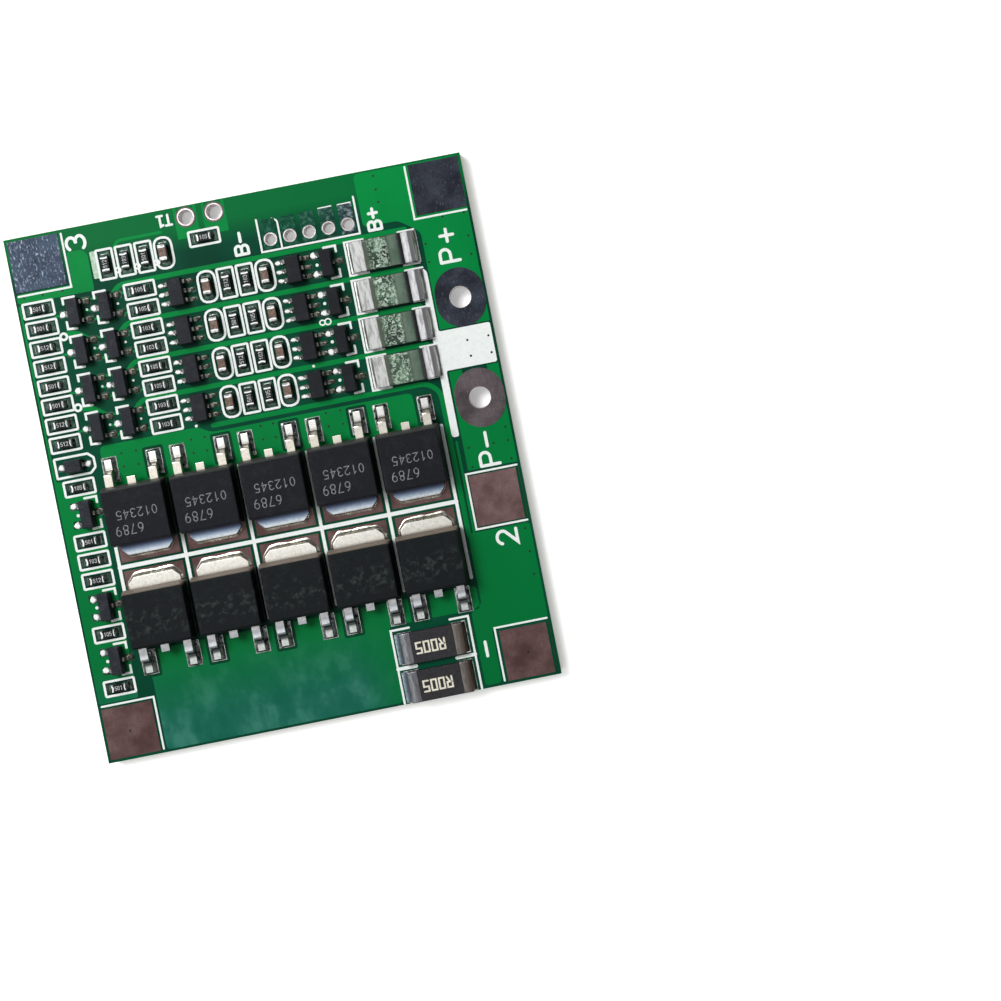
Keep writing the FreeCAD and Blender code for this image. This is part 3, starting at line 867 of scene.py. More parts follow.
def copper_traces(mesh):
    """Tracks between the parts that show under the mask."""
    for row in row_centres:
        y = row + half_row - 0.08
        trace(mesh, [(9.7, y - 0.9), (10.6, y), (33.2, y), (40.2, y)], 0.5, 0.7)
    for y in (43.5, 35.75):
        trace(mesh, [(4.6, y + 0.35), (5.5, y + 0.25), (6.7, y - 0.65)], 0.55, 0.6)
    trace(mesh, [(17.2, 31.9), (39.4, 31.9), (40.6, 30.8), (40.6, 15.8)], 0.5, 1.0)
    trace(mesh, [(41.2, 25.4), (41.2, 15.8)], 0.26)
    trace(mesh, [(10.8, 51.5), (11.3, 52.2), (15.8, 52.2)], 0.3, 0.6)
    for low, high in solids("left_transistor_cases"):
        x, row = middle((low, high)).xy
        if x > first_column:
            for y in (low.y + 0.4, high.y - 0.4):
                trace(mesh, [(x + 1.2, y), (x + 2.3, y)], stub_width)
            trace(mesh, [(x - 2.1, row - 0.05), (x - 1.3, row - 0.05)], stub_width)


def gate_gaps():
    """Dark gaps in the copper round the gate lands: on the right of an upper pair, the left of a lower."""
    mesh = bmesh.new()
    lands = sorted(solids("lead_lands"), key=lambda box: box[0].x)
    upper = [box for box in lands if middle(box).y > row_split]
    lower = [box for box in lands if middle(box).y < row_split]
    gap = Vector((0.3, 0.3))
    for low, high in upper[1::2] + lower[0::2]:
        panel(mesh, low.xy - gap, high.xy + gap, 0.3, film_low, film_high + 0.004)
    return mesh


# White print

# Corners of the line round the diode, with two of them cut off
diode_outline = ((0.65, 29.55), (4.1, 29.55), (4.65, 30.05), (4.65, 31.05), (4.1, 31.55), (0.65, 31.55))

# Middle, outer and inner radius of each ring round a via
ringed_vias = (
    (4.1, 43.65, 0.45, 0.2), (4.1, 36.3, 0.45, 0.2),
    (10.85, 49.25, 0.34, 0.15), (12.85, 49.25, 0.34, 0.15), (14.85, 49.25, 0.34, 0.15),
)

# Text, middle, width, height, turn and stroke of each label
label_rows = (
    ("3", (7.15, 52.8), 1.35, 1.9, 90, label_width),
    ("2", (44.4, 14.9), 1.35, 2.05, 90, label_width),
    ("P", (44.2, 44.3), 1.3, 1.95, 90, label_width),
    ("+", (44.25, 46.35), 1.25, 2.2, 90, label_width),
    ("P", (44.2, 23.15), 1.35, 1.95, 90, label_width),
    ("-", (44.22, 25.12), 1.4, 2.0, 90, label_width),
    ("B", (23.55, 48.85), 0.9, 1.3, 90, 0.3),
    ("-", (23.57, 50.15), 0.85, 1.3, 90, label_width),
    ("B", (37.3, 48.72), 0.85, 1.3, 90, 0.3),
    ("+", (37.3, 50.0), 0.9, 1.4, 90, 0.3),
    ("-", (40.1, 4.0), 1.45, 1.5, 90, label_width),
    ("8", (30.45, 40.02), 0.62, 1.15, 90, 0.14),
    (("T", "footed_1"), (16.4, 53.28), 0.6, 1.05, 180, 0.24),
)


def ink_loop(mesh, outline):
    """A closed white line along an outline."""
    line(mesh, outline + outline[:1], silk_width, ink_low, ink_high + next(lifts))


def dot(mesh, x, y, radius, steps):
    """A round white dot."""
    disc(mesh, x, y, radius, ink_low, ink_high + next(lifts), steps)


def outline_line(mesh, centre, half, radius):
    """A closed white line whose outer edge is a rectangle about a centre."""
    reach = Vector(half) - Vector((silk_width, silk_width)) / 2
    ink_loop(mesh, rounded(rectangle(centre - reach, centre + reach), radius))


def silk_line(mesh, points, width=silk_width, bend=0.0):
    """A white line along a path, with its corners rounded where given."""
    path = rounded(points, bend, closed=False) if bend else points
    line(mesh, path, width, ink_low, ink_high + next(lifts))


def chip_outlines():
    """Boxes round the chip resistors and obrounds round the capacitors."""
    mesh = bmesh.new()
    for box in solids("chip_resistor_cores"):
        half = (1.66, 0.87) if lies_across(box) else (0.93, 1.64)
        outline_line(mesh, middle(box).xy, half, 0.12)
    for box in solids("chip_capacitor_cores"):
        outline_line(mesh, middle(box).xy, (1.0, 1.7), 0.85)
    return mesh


def chip_beds():
    """A darker green patch inside the outline of each chip resistor and capacitor."""
    mesh = bmesh.new()
    for node, half in (("chip_resistor_cores", (1.5, 0.72)), ("chip_capacitor_cores", (1.5, 0.86))):
        for box in solids(node):
            centre = middle(box).xy
            reach = Vector(half if lies_across(box) else half[::-1])
            panel(mesh, centre - reach, centre + reach, 0.12, film_low, film_high + 0.003)
    return mesh


def transistor_brackets(mesh):
    """Corner brackets on one side of each three-lead case."""
    for node, side in (("left_transistor_cases", -1), ("right_transistor_cases", 1)):
        for box in solids(node):
            centre = middle(box)
            facing = 1 if centre.x < first_column else side
            x = centre.x + facing * 1.1
            inner = centre.x - facing * 0.1
            top = box[1].y + 0.17
            low = box[0].y - 0.1
            silk_line(mesh, [(inner, top), (x, top), (x, top - 0.6)])
            silk_line(mesh, [(x, centre.y - 0.82), (x, low), (inner + facing * 0.3, low - 0.06)])


def balance_brackets(mesh):
    """Brackets round the balance resistors; the uppermost one is closed on the right."""
    width = 0.21
    half = 1.72
    for number in range(1, 5):
        low, high = node_box(f"balance_resistor_{number}_core")
        row = (low.y + high.y) / 2
        top = row + half
        foot = row - half
        left = low.x - 0.66
        right = high.x + 0.25
        arm = left + 1.95
        silk_line(mesh, [(arm, top), (left, top), (left, foot), (arm, foot)], width)
        if number == 4:
            silk_line(mesh, [(right - 1.6, top), (right, top), (right, foot), (right - 1.6, foot)], width)
        else:
            silk_line(mesh, [(right - 1.6, top), (right + 0.2, top)], width)


def balance_shadow_bands():
    """Painted shadow: a dark band in the gap between the glaze and the right terminal, wide open on three
    of the four.
    """
    mesh = bmesh.new()
    for number in range(2, 5):
        low = node_box(f"balance_resistor_{number}_core")[0]
        high = node_box(f"balance_resistor_{number}_terminals")[1]
        start = high.x - 1.45
        band = rectangle((start, low.y + 0.03), (start + 0.28, high.y - 0.03))
        plate(mesh, band, high.z - 0.02, high.z + 0.012)
    return mesh


def shunt_frame(mesh):
    """Frame beside the two shunts, with a bar between them on each side."""
    low = node_box("shunt_resistor_1_core")[0]
    high = node_box("shunt_resistor_2_core")[1]
    top = high.y + 0.42
    between = (low.y + high.y) / 2
    for x, arm in ((low.x - 0.95, 1.9), (high.x + 0.85, -1.9)):
        silk_line(mesh, [(x + arm, top), (x, top), (x, low.y)], 0.22)
        silk_line(mesh, [(x, between), (x + arm, between)], 0.36)


def fet_seams(mesh):
    """Lines between the power transistors: one along the seam and one on each side of a column."""
    drains = solids("drain_lands")
    middles = sorted({round(middle(box).x, 2) for box in drains})
    pitch = middles[1] - middles[0]
    lowest = min(box[0].y for box in drains)
    highest = max(box[1].y for box in drains)
    seam = (lowest + highest) / 2
    left = middles[0] - pitch / 2 + 0.15
    right = middles[-1] + pitch / 2 - 0.03
    silk_line(mesh, [(left, seam), (right, seam)], 0.42)
    for x in [left] + [x + pitch / 2 for x in middles[:-1]] + [right]:
        silk_line(mesh, [(x, lowest - 0.9), (x, highest + 0.9)], 0.34)


def tab_borders(mesh):
    """Thin lines on the inner sides of the tab lands, and along the board's edge on the right."""
    width = 0.2
    inset = 0.12
    for node, side_x, side_y, margin in (
        ("top_left_tab_land", 1, -1, 0.36), ("top_right_tab_land", -1, -1, 0.3),
        ("bottom_left_tab_land", 1, 1, 0.3), ("bottom_right_tab_land", -1, 1, 0.38),
    ):
        low, high = node_box(node)
        x = high.x + margin if side_x > 0 else low.x - margin
        y = high.y + margin if side_y > 0 else low.y - margin
        far_x = low.x + inset if side_x > 0 else high.x - inset
        far_y = low.y + inset if side_y > 0 else high.y - inset
        silk_line(mesh, [(far_x, y), (x, y), (x, far_y)], width)
    low, high = node_box("middle_right_tab_land")
    x = low.x - 0.22
    top = high.y + 0.25
    foot = low.y - 0.25
    silk_line(mesh, [(high.x - inset, top), (x, top), (x, foot), (high.x - inset, foot)], width)


def land_edges():
    """Dark mask that laps over the outer margin of the right-hand tab lands."""
    mesh = bmesh.new()
    for node in ("middle_right_tab_land", "bottom_right_tab_land"):
        low, high = node_box(node)
        plate(mesh, rectangle((high.x - 0.3, low.y), (high.x - 0.02, high.y)), low.z, high.z + 0.006)
    return mesh


def header_lines(mesh):
    """Frame round the header lands, with the first one partitioned off."""
    boxes = solids("header_lands")
    pitch = boxes[1][0].x - boxes[0][0].x
    left = boxes[0][0].x - 0.33
    right = boxes[-1][1].x + 0.3
    low = boxes[0][0].y - 0.2
    high = boxes[0][1].y
    silk_line(mesh, [(left, high + 0.1), (left, low), (right, low), (right, high + 0.55)], 0.2)
    x = boxes[0][1].x + (pitch - size(boxes[0]).x) / 2
    silk_line(mesh, [(x, low + 0.1), (x, high - 0.3), (x - 0.5, high - 0.05)], 0.18, 0.3)
    for box in boxes[-2:]:
        silk_line(mesh, [(box[0].x + 0.1, high + 0.02), (box[1].x - 0.1, high + 0.04)], 0.17)
    silk_line(mesh, [(boxes[2][0].x + 0.45, high - 0.3), (boxes[2][1].x - 0.25, high - 0.62)], 0.17)


def small_prints(mesh):
    """Diode outline with cut corners, ringed vias and pin marks."""
    ink_loop(mesh, rounded(diode_outline, 0.08))
    for x, y, outer, inner in ringed_vias:
        tube(mesh, x, y, outer, inner, ink_low, ink_high + next(lifts))
    for x, y in ((28.4, 35.85), (15.5, 32.15)):
        dot(mesh, x, y, 0.15, 16)
    cases = solids("left_transistor_cases")
    for box in solids("right_transistor_cases") + [box for box in cases if box[0].x < first_column]:
        dot(mesh, middle(box).x - 1.05, middle(box).y, 0.17, 10)
    for box in cases:
        if box[0].x > first_column:
            dot(mesh, middle(box).x + 1.15, middle(box).y + 0.05, 0.13, 10)


def white_block():
    """Solid white area between the power lands and along the balance resistors."""
    mesh = bmesh.new()
    outline = [
        (41.0, 25.95), (41.6, 25.95), (41.6, 32.75), (46.9, 32.75), (46.9, 36.85),
        (41.6, 36.85), (41.6, 43.1), (41.25, 43.5), (40.85, 43.5), (40.85, 26.2),
    ]
    plate(mesh, rounded(outline, 0.25), ink_low, block_high)
    return mesh


def pale_patch():
    """Thinly printed strip beside the first of the top resistors."""
    mesh = bmesh.new()
    panel(mesh, (8.3, 48.8), (8.95, 51.6), 0.15, ink_low, ink_high - 0.008)
    return mesh


def labels():
    """Numbers and polarity marks beside the lands."""
    mesh = bmesh.new()
    for text, centre, width, height, turn, stroke in label_rows:
        write(mesh, text, centre, width, height, turn, stroke, ink_low, ink_high)
    return mesh


# Pads, solder and plating
def chip_ends():
    """Terminals of the chips: the middle, the way each faces and its size."""
    ends = []
    for kind in ("chip_resistor", "chip_capacitor"):
        cores = [middle(box) for box in solids(f"{kind}_cores")]
        for box in solids(f"{kind}_terminals"):
            centre = middle(box)
            away = centre - nearest(cores, centre)
            if abs(away.x) > abs(away.y):
                along = Vector((math.copysign(1, away.x), 0))
            else:
                along = Vector((0, math.copysign(1, away.y)))
            ends.append((centre.xy, along, size(box)))
    return ends


def along_box(centre, along, near, far, half):
    """Corners of a rectangle that reaches from near to far along a direction."""
    across = Vector((abs(along.y), abs(along.x))) * half
    first = centre + along * near
    second = centre + along * far
    low = Vector((min(first.x, second.x), min(first.y, second.y))) - across
    high = Vector((max(first.x, second.x), max(first.y, second.y))) + across
    return low, high


def facing_rise(along, height):
    """Height that falls away along a direction and towards both sides."""
    def rise(u, v):
        out = (u * along.x + v * along.y + 1) / 2
        side = abs(u * along.y + v * along.x)
        return height * (1 - out) ** 2 * (1 - 0.45 * side ** 2)
    return rise


def chip_solder():
    """Pads of the chip parts and the hollow solder slopes at their ends."""
    pads = bmesh.new()
    solder = bmesh.new()
    for centre, along, span in chip_ends():
        low, high = along_box(centre, along, -0.3, 0.68, 0.5)
        panel(pads, low, high, 0.12, film_low, pad_high)
        height = min(0.4, span.z * 0.8) * draw.uniform(0.8, 1.1)
        low, high = along_box(centre, along, 0.15, 0.42 + draw.uniform(-0.06, 0.08), 0.37)
        relief(solder, low, high, pad_high, facing_rise(along, height), 6, 6)
    return pads, solder


def chip_painted_glints():
    """Painted highlights: bright bowed bands at the inner edge of each chip part's terminals."""
    mesh = bmesh.new()
    resistor_top = solids("chip_resistor_terminals")[0][1].z
    for centre, along, span in chip_ends():
        flat = abs(along.x) > 0.5
        wide = not flat or along.x < 0
        width = draw.uniform(0.13, 0.18) if wide else draw.uniform(0.07, 0.1)
        reach = Vector((-along.y, along.x)) * (0.27 if flat else 0.3)
        inner = centre - along * (min(span.x, span.y) / 2 - 0.09)
        bend = along * draw.uniform(0.02, 0.07)
        path = [inner + reach + bend, inner + reach * 0.4, inner - reach * 0.4, inner - reach + bend]
        high = resistor_top if span.z < 0.5 else board_top + span.z
        line(mesh, [tuple(point) for point in path], width, high - 0.02, high + 0.012)
    return mesh


def lead_ends():
    """Small leads: the box, the side it faces and whether it is a slim one of a six-lead chip."""
    ends = []
    for group in ("left_transistor", "right_transistor", "left_ic", "right_ic", "diode"):
        cases = [middle(box) for box in solids("diode_case" if group == "diode" else f"{group}_cases")]
        for box in solids(f"{group}_leads"):
            centre = middle(box)
            case = nearest(cases, centre)
            ends.append((box, math.copysign(1, centre.x - case.x), "ic" in group))
    return ends


def lump(mesh, centre, reach, base, height, corners=7):
    """A blunt, uneven heap with a flat top; gives back the corners of that top."""
    turn = draw.uniform(0, 1)
    spokes = [draw.uniform(0.72, 1.08) for spoke in range(corners)]
    shift = (draw.uniform(-0.1, 0.1) * reach[0], draw.uniform(-0.1, 0.1) * reach[1])
    loops = []
    for share, rise in ((1.0, -heap_edge), (0.96, 0.5 * height), (0.66, height)):
        loop = []
        for index, spoke in enumerate(spokes):
            angle = math.tau * (index + turn) / corners
            x = centre[0] + reach[0] * spoke * share * math.cos(angle) + shift[0] * (1 - share)
            y = centre[1] + reach[1] * spoke * share * math.sin(angle) + shift[1] * (1 - share)
            loop.append(mesh.verts.new((x, y, base + rise)))
        loops.append(loop)
    mesh.faces.new(loops[0][::-1])
    mesh.faces.new(loops[-1])
    for first, second in zip(loops, loops[1:]):
        for index in range(corners):
            mesh.faces.new((first[index - 1], first[index], second[index], second[index - 1]))
    return [vert.co.xy for vert in loops[-1]]


def lead_solder():
    """Pads of the small leads and the solder on them: bright lumps on the left as painted highlights, dull
    ones on the right as painted shade, with painted glints.
    """
    pads, bright, dull, glints = (bmesh.new() for kind in range(4))
    diode_rows = [middle(box).y for box in solids("diode_leads")]
    for box, facing, slim in lead_ends():
        row = middle(box).y
        tip = box[1].x if facing > 0 else box[0].x
        half = 0.26 if slim else 0.4
        low, high = along_box(Vector((tip, row)), Vector((facing, 0)), -0.45, 0.5, half)
        panel(pads, low, high, 0.1, film_low, pad_high)
        centre = (tip + facing * draw.uniform(0.04, 0.12), row + draw.uniform(-0.06, 0.06))
        if facing < 0 or row in diode_rows:
            # Painted highlight: a bright lump on a left-facing lead or a diode lead
            lump(bright, centre, (0.4, half * 0.95), pad_high, draw.uniform(0.13, 0.18))
            # A small painted highlight beside it, on the lead towards the case
            beside = (tip - facing * 0.34, row - draw.uniform(0.1, 0.2))
            lump(bright, beside, (0.2, 0.13), pad_high + 0.06, 0.16, 5)
        else:
            # Painted shade: a dull lump, with a painted glint line along its upper rim
            height = draw.uniform(0.1, 0.14)
            rim = lump(dull, centre, (0.44, half * 1.05), pad_high, height)
            upper = sorted(rim, key=lambda point: -point.y)[:3]
            path = sorted((tuple(point) for point in upper), key=lambda point: point[0])
            top = pad_high + height
            line(glints, path, 0.06, top - 0.02, top + 0.008)
    return pads, bright, dull, glints


def foot_rise(foot_low, foot_high, height):
    """Height of solder that climbs to the edge of a foot and thins out over the land."""
    phase = draw.uniform(0, full_phase)

    def rise(u, v):
        share = 0.0
        for place, low, high in zip((u, v), foot_low, foot_high):
            if place < low:
                share = math.hypot(share, (low - place) / (low + 1))
            if place > high:
                share = math.hypot(share, (place - high) / (1 - high))
        ripple = 1 + 0.06 * math.sin(5 * u + phase) + 0.05 * math.cos(6 * v + phase)
        return height * max(0.0, 1 - share) ** 2 * ripple
    return rise


def fet_lead_solder():
    """Solder round the feet of the power transistors' outer leads."""
    mesh = bmesh.new()
    foot_half = 0.375
    foot_near = 0.25
    foot_far = 1.55
    inset = Vector((0.03, 0.03))
    for low, high in solids("lead_lands"):
        span = high - low
        start = 1 - 2 * foot_far / span.y
        end = 1 - 2 * foot_near / span.y
        edge = 2 * foot_half / span.x
        foot = (start, end) if low.y > row_split else (-end, -start)
        rise = foot_rise((-edge, foot[0]), (edge, foot[1]), draw.uniform(0.34, 0.41))
        relief(mesh, low.xy + inset, high.xy - inset, high.z, rise, 14, 16)
    return mesh


def fillet(mesh, inner, outer, base, height):
    """Hollow solder between a part's edge and a rim on its land, along an open path."""
    rings = 5
    foot = base - 0.01
    path_in = rounded(inner, 0.3, closed=False, steps=5)
    path_out = rounded(outer, 0.9, closed=False, steps=5)
    phase = draw.uniform(0, full_phase)
    rows = []
    for index, (near, far) in enumerate(zip(path_in, path_out)):
        wave = 1 + 0.09 * math.sin(0.25 * index + phase) + 0.03 * math.sin(0.6 * index - phase)
        row = []
        for step in range(rings + 1):
            share = step / rings
            x = near[0] + (far[0] - near[0]) * share * wave
            y = near[1] + (far[1] - near[1]) * share * wave
            row.append(mesh.verts.new((x, y, base + height * (1 - share) ** 2 + heap_edge)))
        row.append(mesh.verts.new((row[-1].co.x, row[-1].co.y, foot)))
        row.append(mesh.verts.new((near[0], near[1], foot)))
        rows.append(row)
    for first, second in zip(rows, rows[1:]):
        for index in range(len(first)):
            mesh.faces.new((first[index - 1], first[index], second[index], second[index - 1]))
    mesh.faces.new(rows[0])
    mesh.faces.new(rows[-1][::-1])


def tab_edge(centre, edge, tip, facing):
    """Edge of a drain tab in front of its case, with the two front corners cut."""
    shoulder = tip - facing * tab_chamfer
    reach = tab_half - tab_chamfer
    steps = 7
    path = [(centre - tab_half, edge), (centre - tab_half, shoulder), (centre - reach, tip)]
    path += [(centre - reach + 2 * reach * step / steps, tip) for step in range(1, steps)]
    return path + [(2 * centre - x, y) for x, y in path[2::-1]]


def fet_tab_solder():
    """Uneven rim of solder round each drain tab: thin in the upper row, wide in the lower one."""
    mesh = bmesh.new()
    for row, facing, front, flank in (("upper", -1, 0.32, 0.1), ("lower", 1, 0.48, 0.26)):
        leads = numbered_boxes(row + "_mosfet_{}_leads", 5)
        cases = numbered_boxes(row + "_mosfet_{}_case", 5)
        for (low, high), case in zip(leads, cases):
            tip, edge = (low.y, case[0].y) if facing < 0 else (high.y, case[1].y)
            centre = (low.x + high.x) / 2
            inner = tab_edge(centre, edge, tip, facing)
            outer = []
            for x, y in inner:
                ahead = front * draw.uniform(0.96, 1.04)
                aside = flank * draw.uniform(0.94, 1.06)
                share = 0.0 if abs(y - edge) < 0.01 else abs(y - edge) / abs(tip - edge)
                on_flank = abs(x - centre) > tab_half - tab_chamfer + 0.01
                outward = math.copysign(aside, x - centre) if on_flank else 0.0
                outer.append((x + outward, y + facing * ahead * share ** 2))
            fillet(mesh, inner, outer, land_high, 0.4)
    return mesh


def power_chip_solder(kind, count, height, left_reach=end_reach):
    """Solder slopes at both ends of the wide resistors of one kind."""
    mesh = bmesh.new()
    for low, high in numbered_boxes(kind + "_resistor_{}_terminals", count):
        for x, facing, reach in ((low.x, -1, left_reach), (high.x, 1, end_reach)):
            along = Vector((facing, 0))
            edge = Vector((x, (low.y + high.y) / 2))
            start, end = along_box(edge, along, -0.06, reach, (high.y - low.y) / 2 - 0.04)
            relief(mesh, start, end, land_high, facing_rise(along, height), 6, 10)
    return mesh


def hole_plating():
    """Tinned barrels inside the power, header and thermistor holes, the smaller ones with a rim."""
    mesh = bmesh.new()
    for node, radius, from_foot, rim in (
        ("positive_power_lands", 1.13, None, 0.0), ("negative_power_lands", 1.13, None, 0.0),
        ("header_lands", 0.6, 0.95, 0.08), ("thermistor_lands", 0.8, None, 0.09),
    ):
        for low, high in solids(node):
            if low.z < board_top / 2:
                continue
            x, y = middle((low, high)).xy
            if from_foot:
                y = low.y + from_foot
            tube(mesh, x, y, radius, radius - 0.04, 0.0, high.z)
            if rim:
                tube(mesh, x, y, radius + rim, radius - 0.03, high.z - 0.01, high.z + 0.008)
    return mesh


# Middles of the via mouths in the tab lands, the wide copper and the white block
land_vias = ((2.85, 51.7), (44.3, 51.65), (2.8, 2.9), (44.25, 2.85))
pour_vias = (
    (0.95, 48.25), (2.85, 48.25), (4.9, 48.25), (46.45, 45.9), (46.45, 48.3), (44.25, 48.3),
    (42.0, 45.9), (42.0, 44.0), (46.4, 44.0), (38.1, 53.7), (38.1, 52.3), (38.1, 51.0), (46.4, 26.0),
    (46.4, 24.6), (46.4, 22.7), (44.9, 24.6), (42.3, 24.6), (42.3, 22.6), (46.4, 15.4), (46.4, 13.0),
    (46.4, 10.6),
) + tuple((x, y) for x in (7.5, 9.0, 14.7, 16.1, 21.9, 23.2, 28.7, 30.2) for y in (29.5, 30.9))
block_vias = ((44.3, 35.45), (46.5, 35.5), (44.35, 33.8), (46.5, 33.75))


def via_holes():
    """Dark discs painted as the shade inside the small via mouths in lands, pours and the white block."""
    mesh = bmesh.new()
    for spots, top in ((land_vias, land_high), (pour_vias, film_high), (block_vias, block_high)):
        for x, y in spots:
            disc(mesh, x, y, 0.12, top - 0.01, top + 0.003, 12)
    return mesh


def resistor_marks():
    """Small grey value marks on the chip resistors."""
    mesh = bmesh.new()
    values = itertools.cycle(("501", "105", "512", "103"))
    for box in solids("chip_resistor_cores"):
        top = box[1].z
        turn = 0 if lies_across(box) else 90
        write(mesh, next(values), middle(box), 0.2, 0.38, turn, 0.06, top - 0.004, top + 0.004, 0.4)
    return mesh


def shunt_marks():
    """Value of the shunts in square letters."""
    mesh = bmesh.new()
    text = ("block_R", "block_0", "block_0", "block_5")
    for box in numbered_boxes("shunt_resistor_{}_core", 2):
        top = box[1].z
        place = middle(box) - Vector((0.28, 0.1, 0.0))
        write(mesh, text, place, 0.5, 1.08, 180, 0.18, top - 0.004, top + 0.006, 0.62)
    return mesh


def fet_marks():
    """Two plain rows of numbers on each upper power transistor."""
    mesh = bmesh.new()
    for box in numbered_boxes("upper_mosfet_{}_case", 5):
        top = box[1].z
        for text, shift, width, height in (
            ("012345", (0.15, 0.12, 0.0), 0.48, 0.85), ("6789", (-0.85, -1.45, 0.0), 0.5, 0.95),
        ):
            place = middle(box) + Vector(shift)
            write(mesh, text, place, width, height, 180, 0.09, top - 0.004, top + 0.002, 0.5)
    return mesh


def balance_coats():
    """Glazed top of each balance resistor, with a raised rim along its two long sides."""
    mesh = bmesh.new()

    def rise(u, v):
        rim = math.exp(-((abs(v) - 0.86) / 0.07) ** 2)
        edge = 1 - 0.7 * max(abs(u), abs(v)) ** 10
        return (0.045 + 0.03 * rim) * edge

    for low, high in numbered_boxes("balance_resistor_{}_core", 4):
        relief(mesh, (low.x + 1.2, low.y + 0.06), (high.x - 1.5, high.y - 0.06), high.z, rise, 12, 24)
    return mesh


def build_pieces():
    """Makes every piece; the uneven ones share one row of random draws, so their order matters."""
    pours_and_traces = copper_pours()
    copper_traces(pours_and_traces)
    mask_piece("copper_under_mask", pours_and_traces, pour_material)
    mask_piece("gate_gaps", gate_gaps(), gap_material)
    mask_piece("chip_beds", chip_beds(), bed_material)
    mask_piece("chip_outlines", chip_outlines(), silk_material)
    lines = bmesh.new()
    for draw_lines in (
        transistor_brackets, balance_brackets, shunt_frame, fet_seams, tab_borders, header_lines,
        small_prints,
    ):
        draw_lines(lines)
    mask_piece("silk_lines", lines, silk_material)
    mask_piece("white_block", white_block(), silk_material)
    mask_piece("pale_patch", pale_patch(), pale_ink)
    mask_piece("labels", labels(), silk_material)
    pads, solder = chip_solder()
    tinned_piece("chip_pads", pads, pad_material, smooth=False)
    tinned_piece("chip_solder", solder, chip_end_solder)
    tinned_piece("chip_painted_glints", chip_painted_glints(), solder_painted_highlight, smooth=False)
    pads, bright, dull, glints = lead_solder()
    tinned_piece("lead_pads", pads, pad_material, smooth=False)
    tinned_piece("lead_solder_painted_highlight", bright, solder_painted_highlight, smooth=False)
    tinned_piece("lead_solder_painted_shade", dull, solder_painted_shade, smooth=False)
    tinned_piece("lead_solder_glints", glints, painted_glint_tin, smooth=False)
    mask_piece("land_edge_mask", land_edges(), gap_material)
    piece("balance_shadow_bands", balance_shadow_bands(), resistor_black)
    tinned_piece("fet_lead_solder", fet_lead_solder(), foot_solder)
    tinned_piece("fet_tab_solder", fet_tab_solder(), rim_solder)
    tinned_piece("balance_solder", power_chip_solder("balance", 4, 0.4), balance_solder)
    tinned_piece("shunt_solder_painted_light", power_chip_solder("shunt", 2, 0.48, 0.62), shunt_solder_painted_light)
    tinned_piece("hole_plating", hole_plating(), barrel_tin)
    mask_piece("via_holes", via_holes(), via_painted_shade)
    piece("resistor_marks", resistor_marks(), value_ink)
    piece("shunt_marks", shunt_marks(), cream_ink)
    piece("fet_marks", fet_marks(), laser_mark)
    piece("balance_glaze", balance_coats(), glaze_material, smooth=True)


# Floor, light and camera
def floor():
    """A white floor that keeps the board's shadow."""
    mesh = bmesh.new()
    for x, y in rectangle((-floor_reach, -floor_reach), (floor_reach, floor_reach)):
        mesh.verts.new((x, y, floor_height))
    mesh.faces.new(mesh.verts)
    data = bpy.data.meshes.new("floor")
    mesh.to_mesh(data)
    mesh.free()
    finish = Finish("floor_paper", (0.9, 0.9, 0.9, 1.0), 0.9, specular=0.1)
    finish.colour(finish.ramp(finish.noise(3.0, 2.0), (0.3, 0.89), (0.7, 0.91)))
    rays = finish.node("ShaderNodeLightPath").outputs
    seen = finish.maths("MAXIMUM", rays["Is Camera Ray"], rays["Is Glossy Ray"])
    seen = finish.maths("MAXIMUM", seen, rays["Is Transmission Ray"])
    # Painted shade: the floor's glow dims where the board occludes it, round its edges and under its holes
    open_air = finish.node("ShaderNodeAmbientOcclusion", Distance=4 * MM).outputs["AO"]
    glow_painted_shade = finish.ramp(open_air, (0.1, 0.34), (0.35, 0.2), (0.9, 0.55))
    finish.shader.inputs["Emission Color"].default_value = (1.0, 1.0, 1.0, 1.0)
    finish.feed(finish.shader.inputs["Emission Strength"], finish.maths("MULTIPLY", seen, glow_painted_shade))
    data.materials.append(finish.material)
    thing = bpy.data.objects.new("floor", data)
    bpy.context.scene.collection.objects.link(thing)


def lamp(name, power, span, azimuth, elevation, distance):
    """A square area lamp that faces the middle of the board; azimuth is from the photograph's right."""
    data = bpy.data.lights.new(name, "AREA")
    data.shape = "SQUARE"
    data.size = span
    data.energy = power
    turn = math.radians(azimuth) + camera_turn
    rise = math.radians(elevation)
    way = Vector((math.cos(turn) * math.cos(rise), math.sin(turn) * math.cos(rise), math.sin(rise)))
    thing = bpy.data.objects.new(name, data)
    thing.location = way * distance
    thing.rotation_euler = way.to_track_quat("Z", "Y").to_euler()
    bpy.context.scene.collection.objects.link(thing)


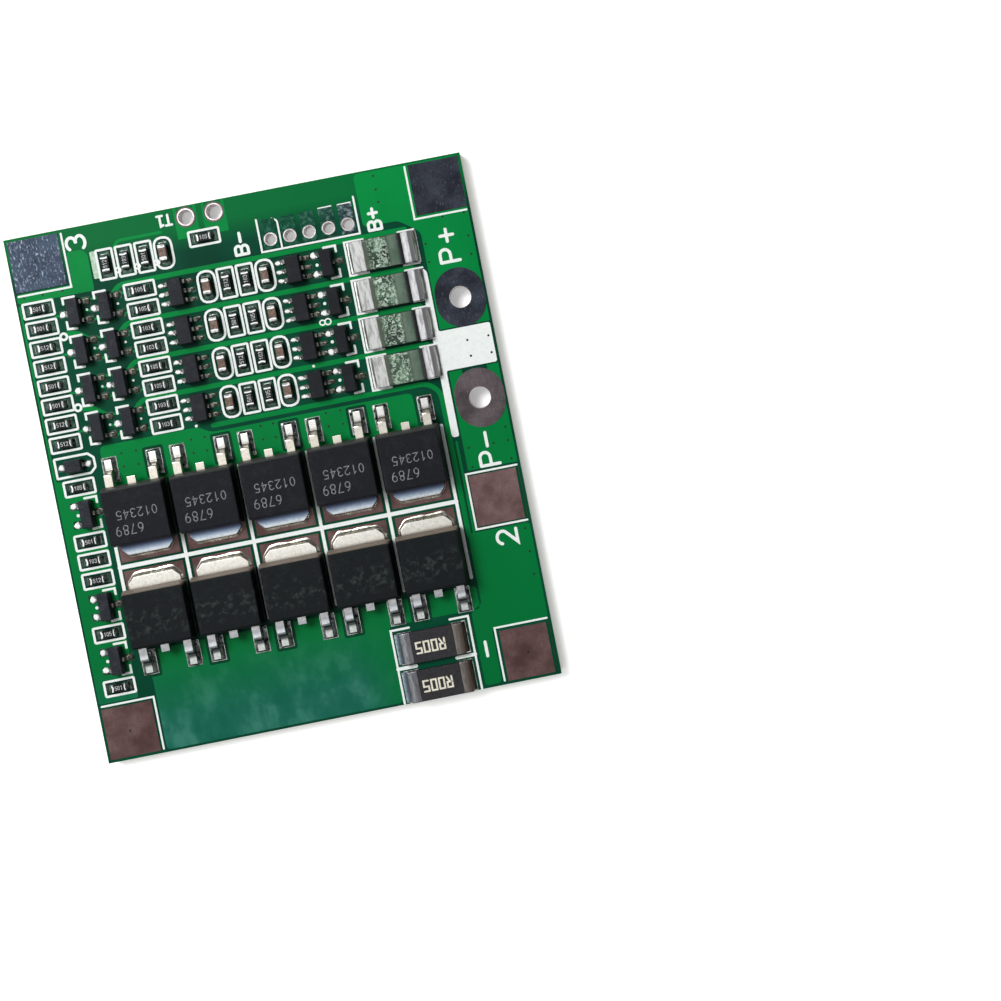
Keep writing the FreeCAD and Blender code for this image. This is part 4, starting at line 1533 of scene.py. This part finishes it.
def sky(level):
    """Slightly bluish room light of a given level."""
    return (level * 0.97, level * 0.98, level, 1.0)


def room():
    """Soft room light: brighter on the lamps' side, pale along the horizon."""
    world = bpy.data.worlds.new("room")
    bpy.context.scene.world = world
    world.use_nodes = True
    nodes = Nodes(world.node_tree)
    place = nodes.node("ShaderNodeTexCoord").outputs["Generated"]
    turned = nodes.node("ShaderNodeMapping", Vector=place, Rotation=(0.0, 0.0, -camera_turn))
    split = nodes.node("ShaderNodeSeparateXYZ", Vector=turned.outputs["Vector"])
    spread = nodes.node("ShaderNodeMapRange", Value=split.outputs["X"], From_Min=-1.0)
    side = nodes.ramp(spread.outputs["Result"], (0.1, sky(0.4)), (0.45, sky(0.26)), (0.75, sky(0.08)))
    horizon = nodes.ramp(split.outputs["Z"], (0.1, sky(0.8)), (0.2, sky(0.0)))
    light = nodes.mix(horizon, side, (0.85, 0.85, 0.85, 1.0))
    nodes.feed(nodes.tree.nodes["Background"].inputs["Color"], light)


def lights():
    """One large lamp on the upper left, a weak one overhead, and the room."""
    lamp("key_lamp", power=2.1, span=0.22, azimuth=146, elevation=52, distance=0.5)
    lamp("top_lamp", power=0.2, span=0.25, azimuth=221, elevation=77, distance=0.5)
    room()


def camera():
    """The photograph's viewpoint."""
    data = bpy.data.cameras.new("camera")
    data.sensor_width = sensor_width
    data.lens = sensor_width * camera_height / frame_width
    data.clip_start = 0.01
    data.shift_x, data.shift_y = frame_shift
    away = Vector((*camera_foot, camera_height)) - Vector((*camera_aim, 0.0))
    away.normalize()
    up = Vector((-math.sin(camera_turn), math.cos(camera_turn), 0.0))
    right = up.cross(away).normalized()
    thing = bpy.data.objects.new("camera", data)
    thing.location = board_to_frame @ Vector((*camera_foot, board_top + camera_height))
    thing.rotation_euler = Matrix((right, away.cross(right), away)).transposed().to_euler()
    bpy.context.scene.collection.objects.link(thing)
    bpy.context.scene.camera = thing


dress_nodes()
build_pieces()
floor()
lights()
camera()
bpy.context.scene.view_settings.view_transform = "Standard"
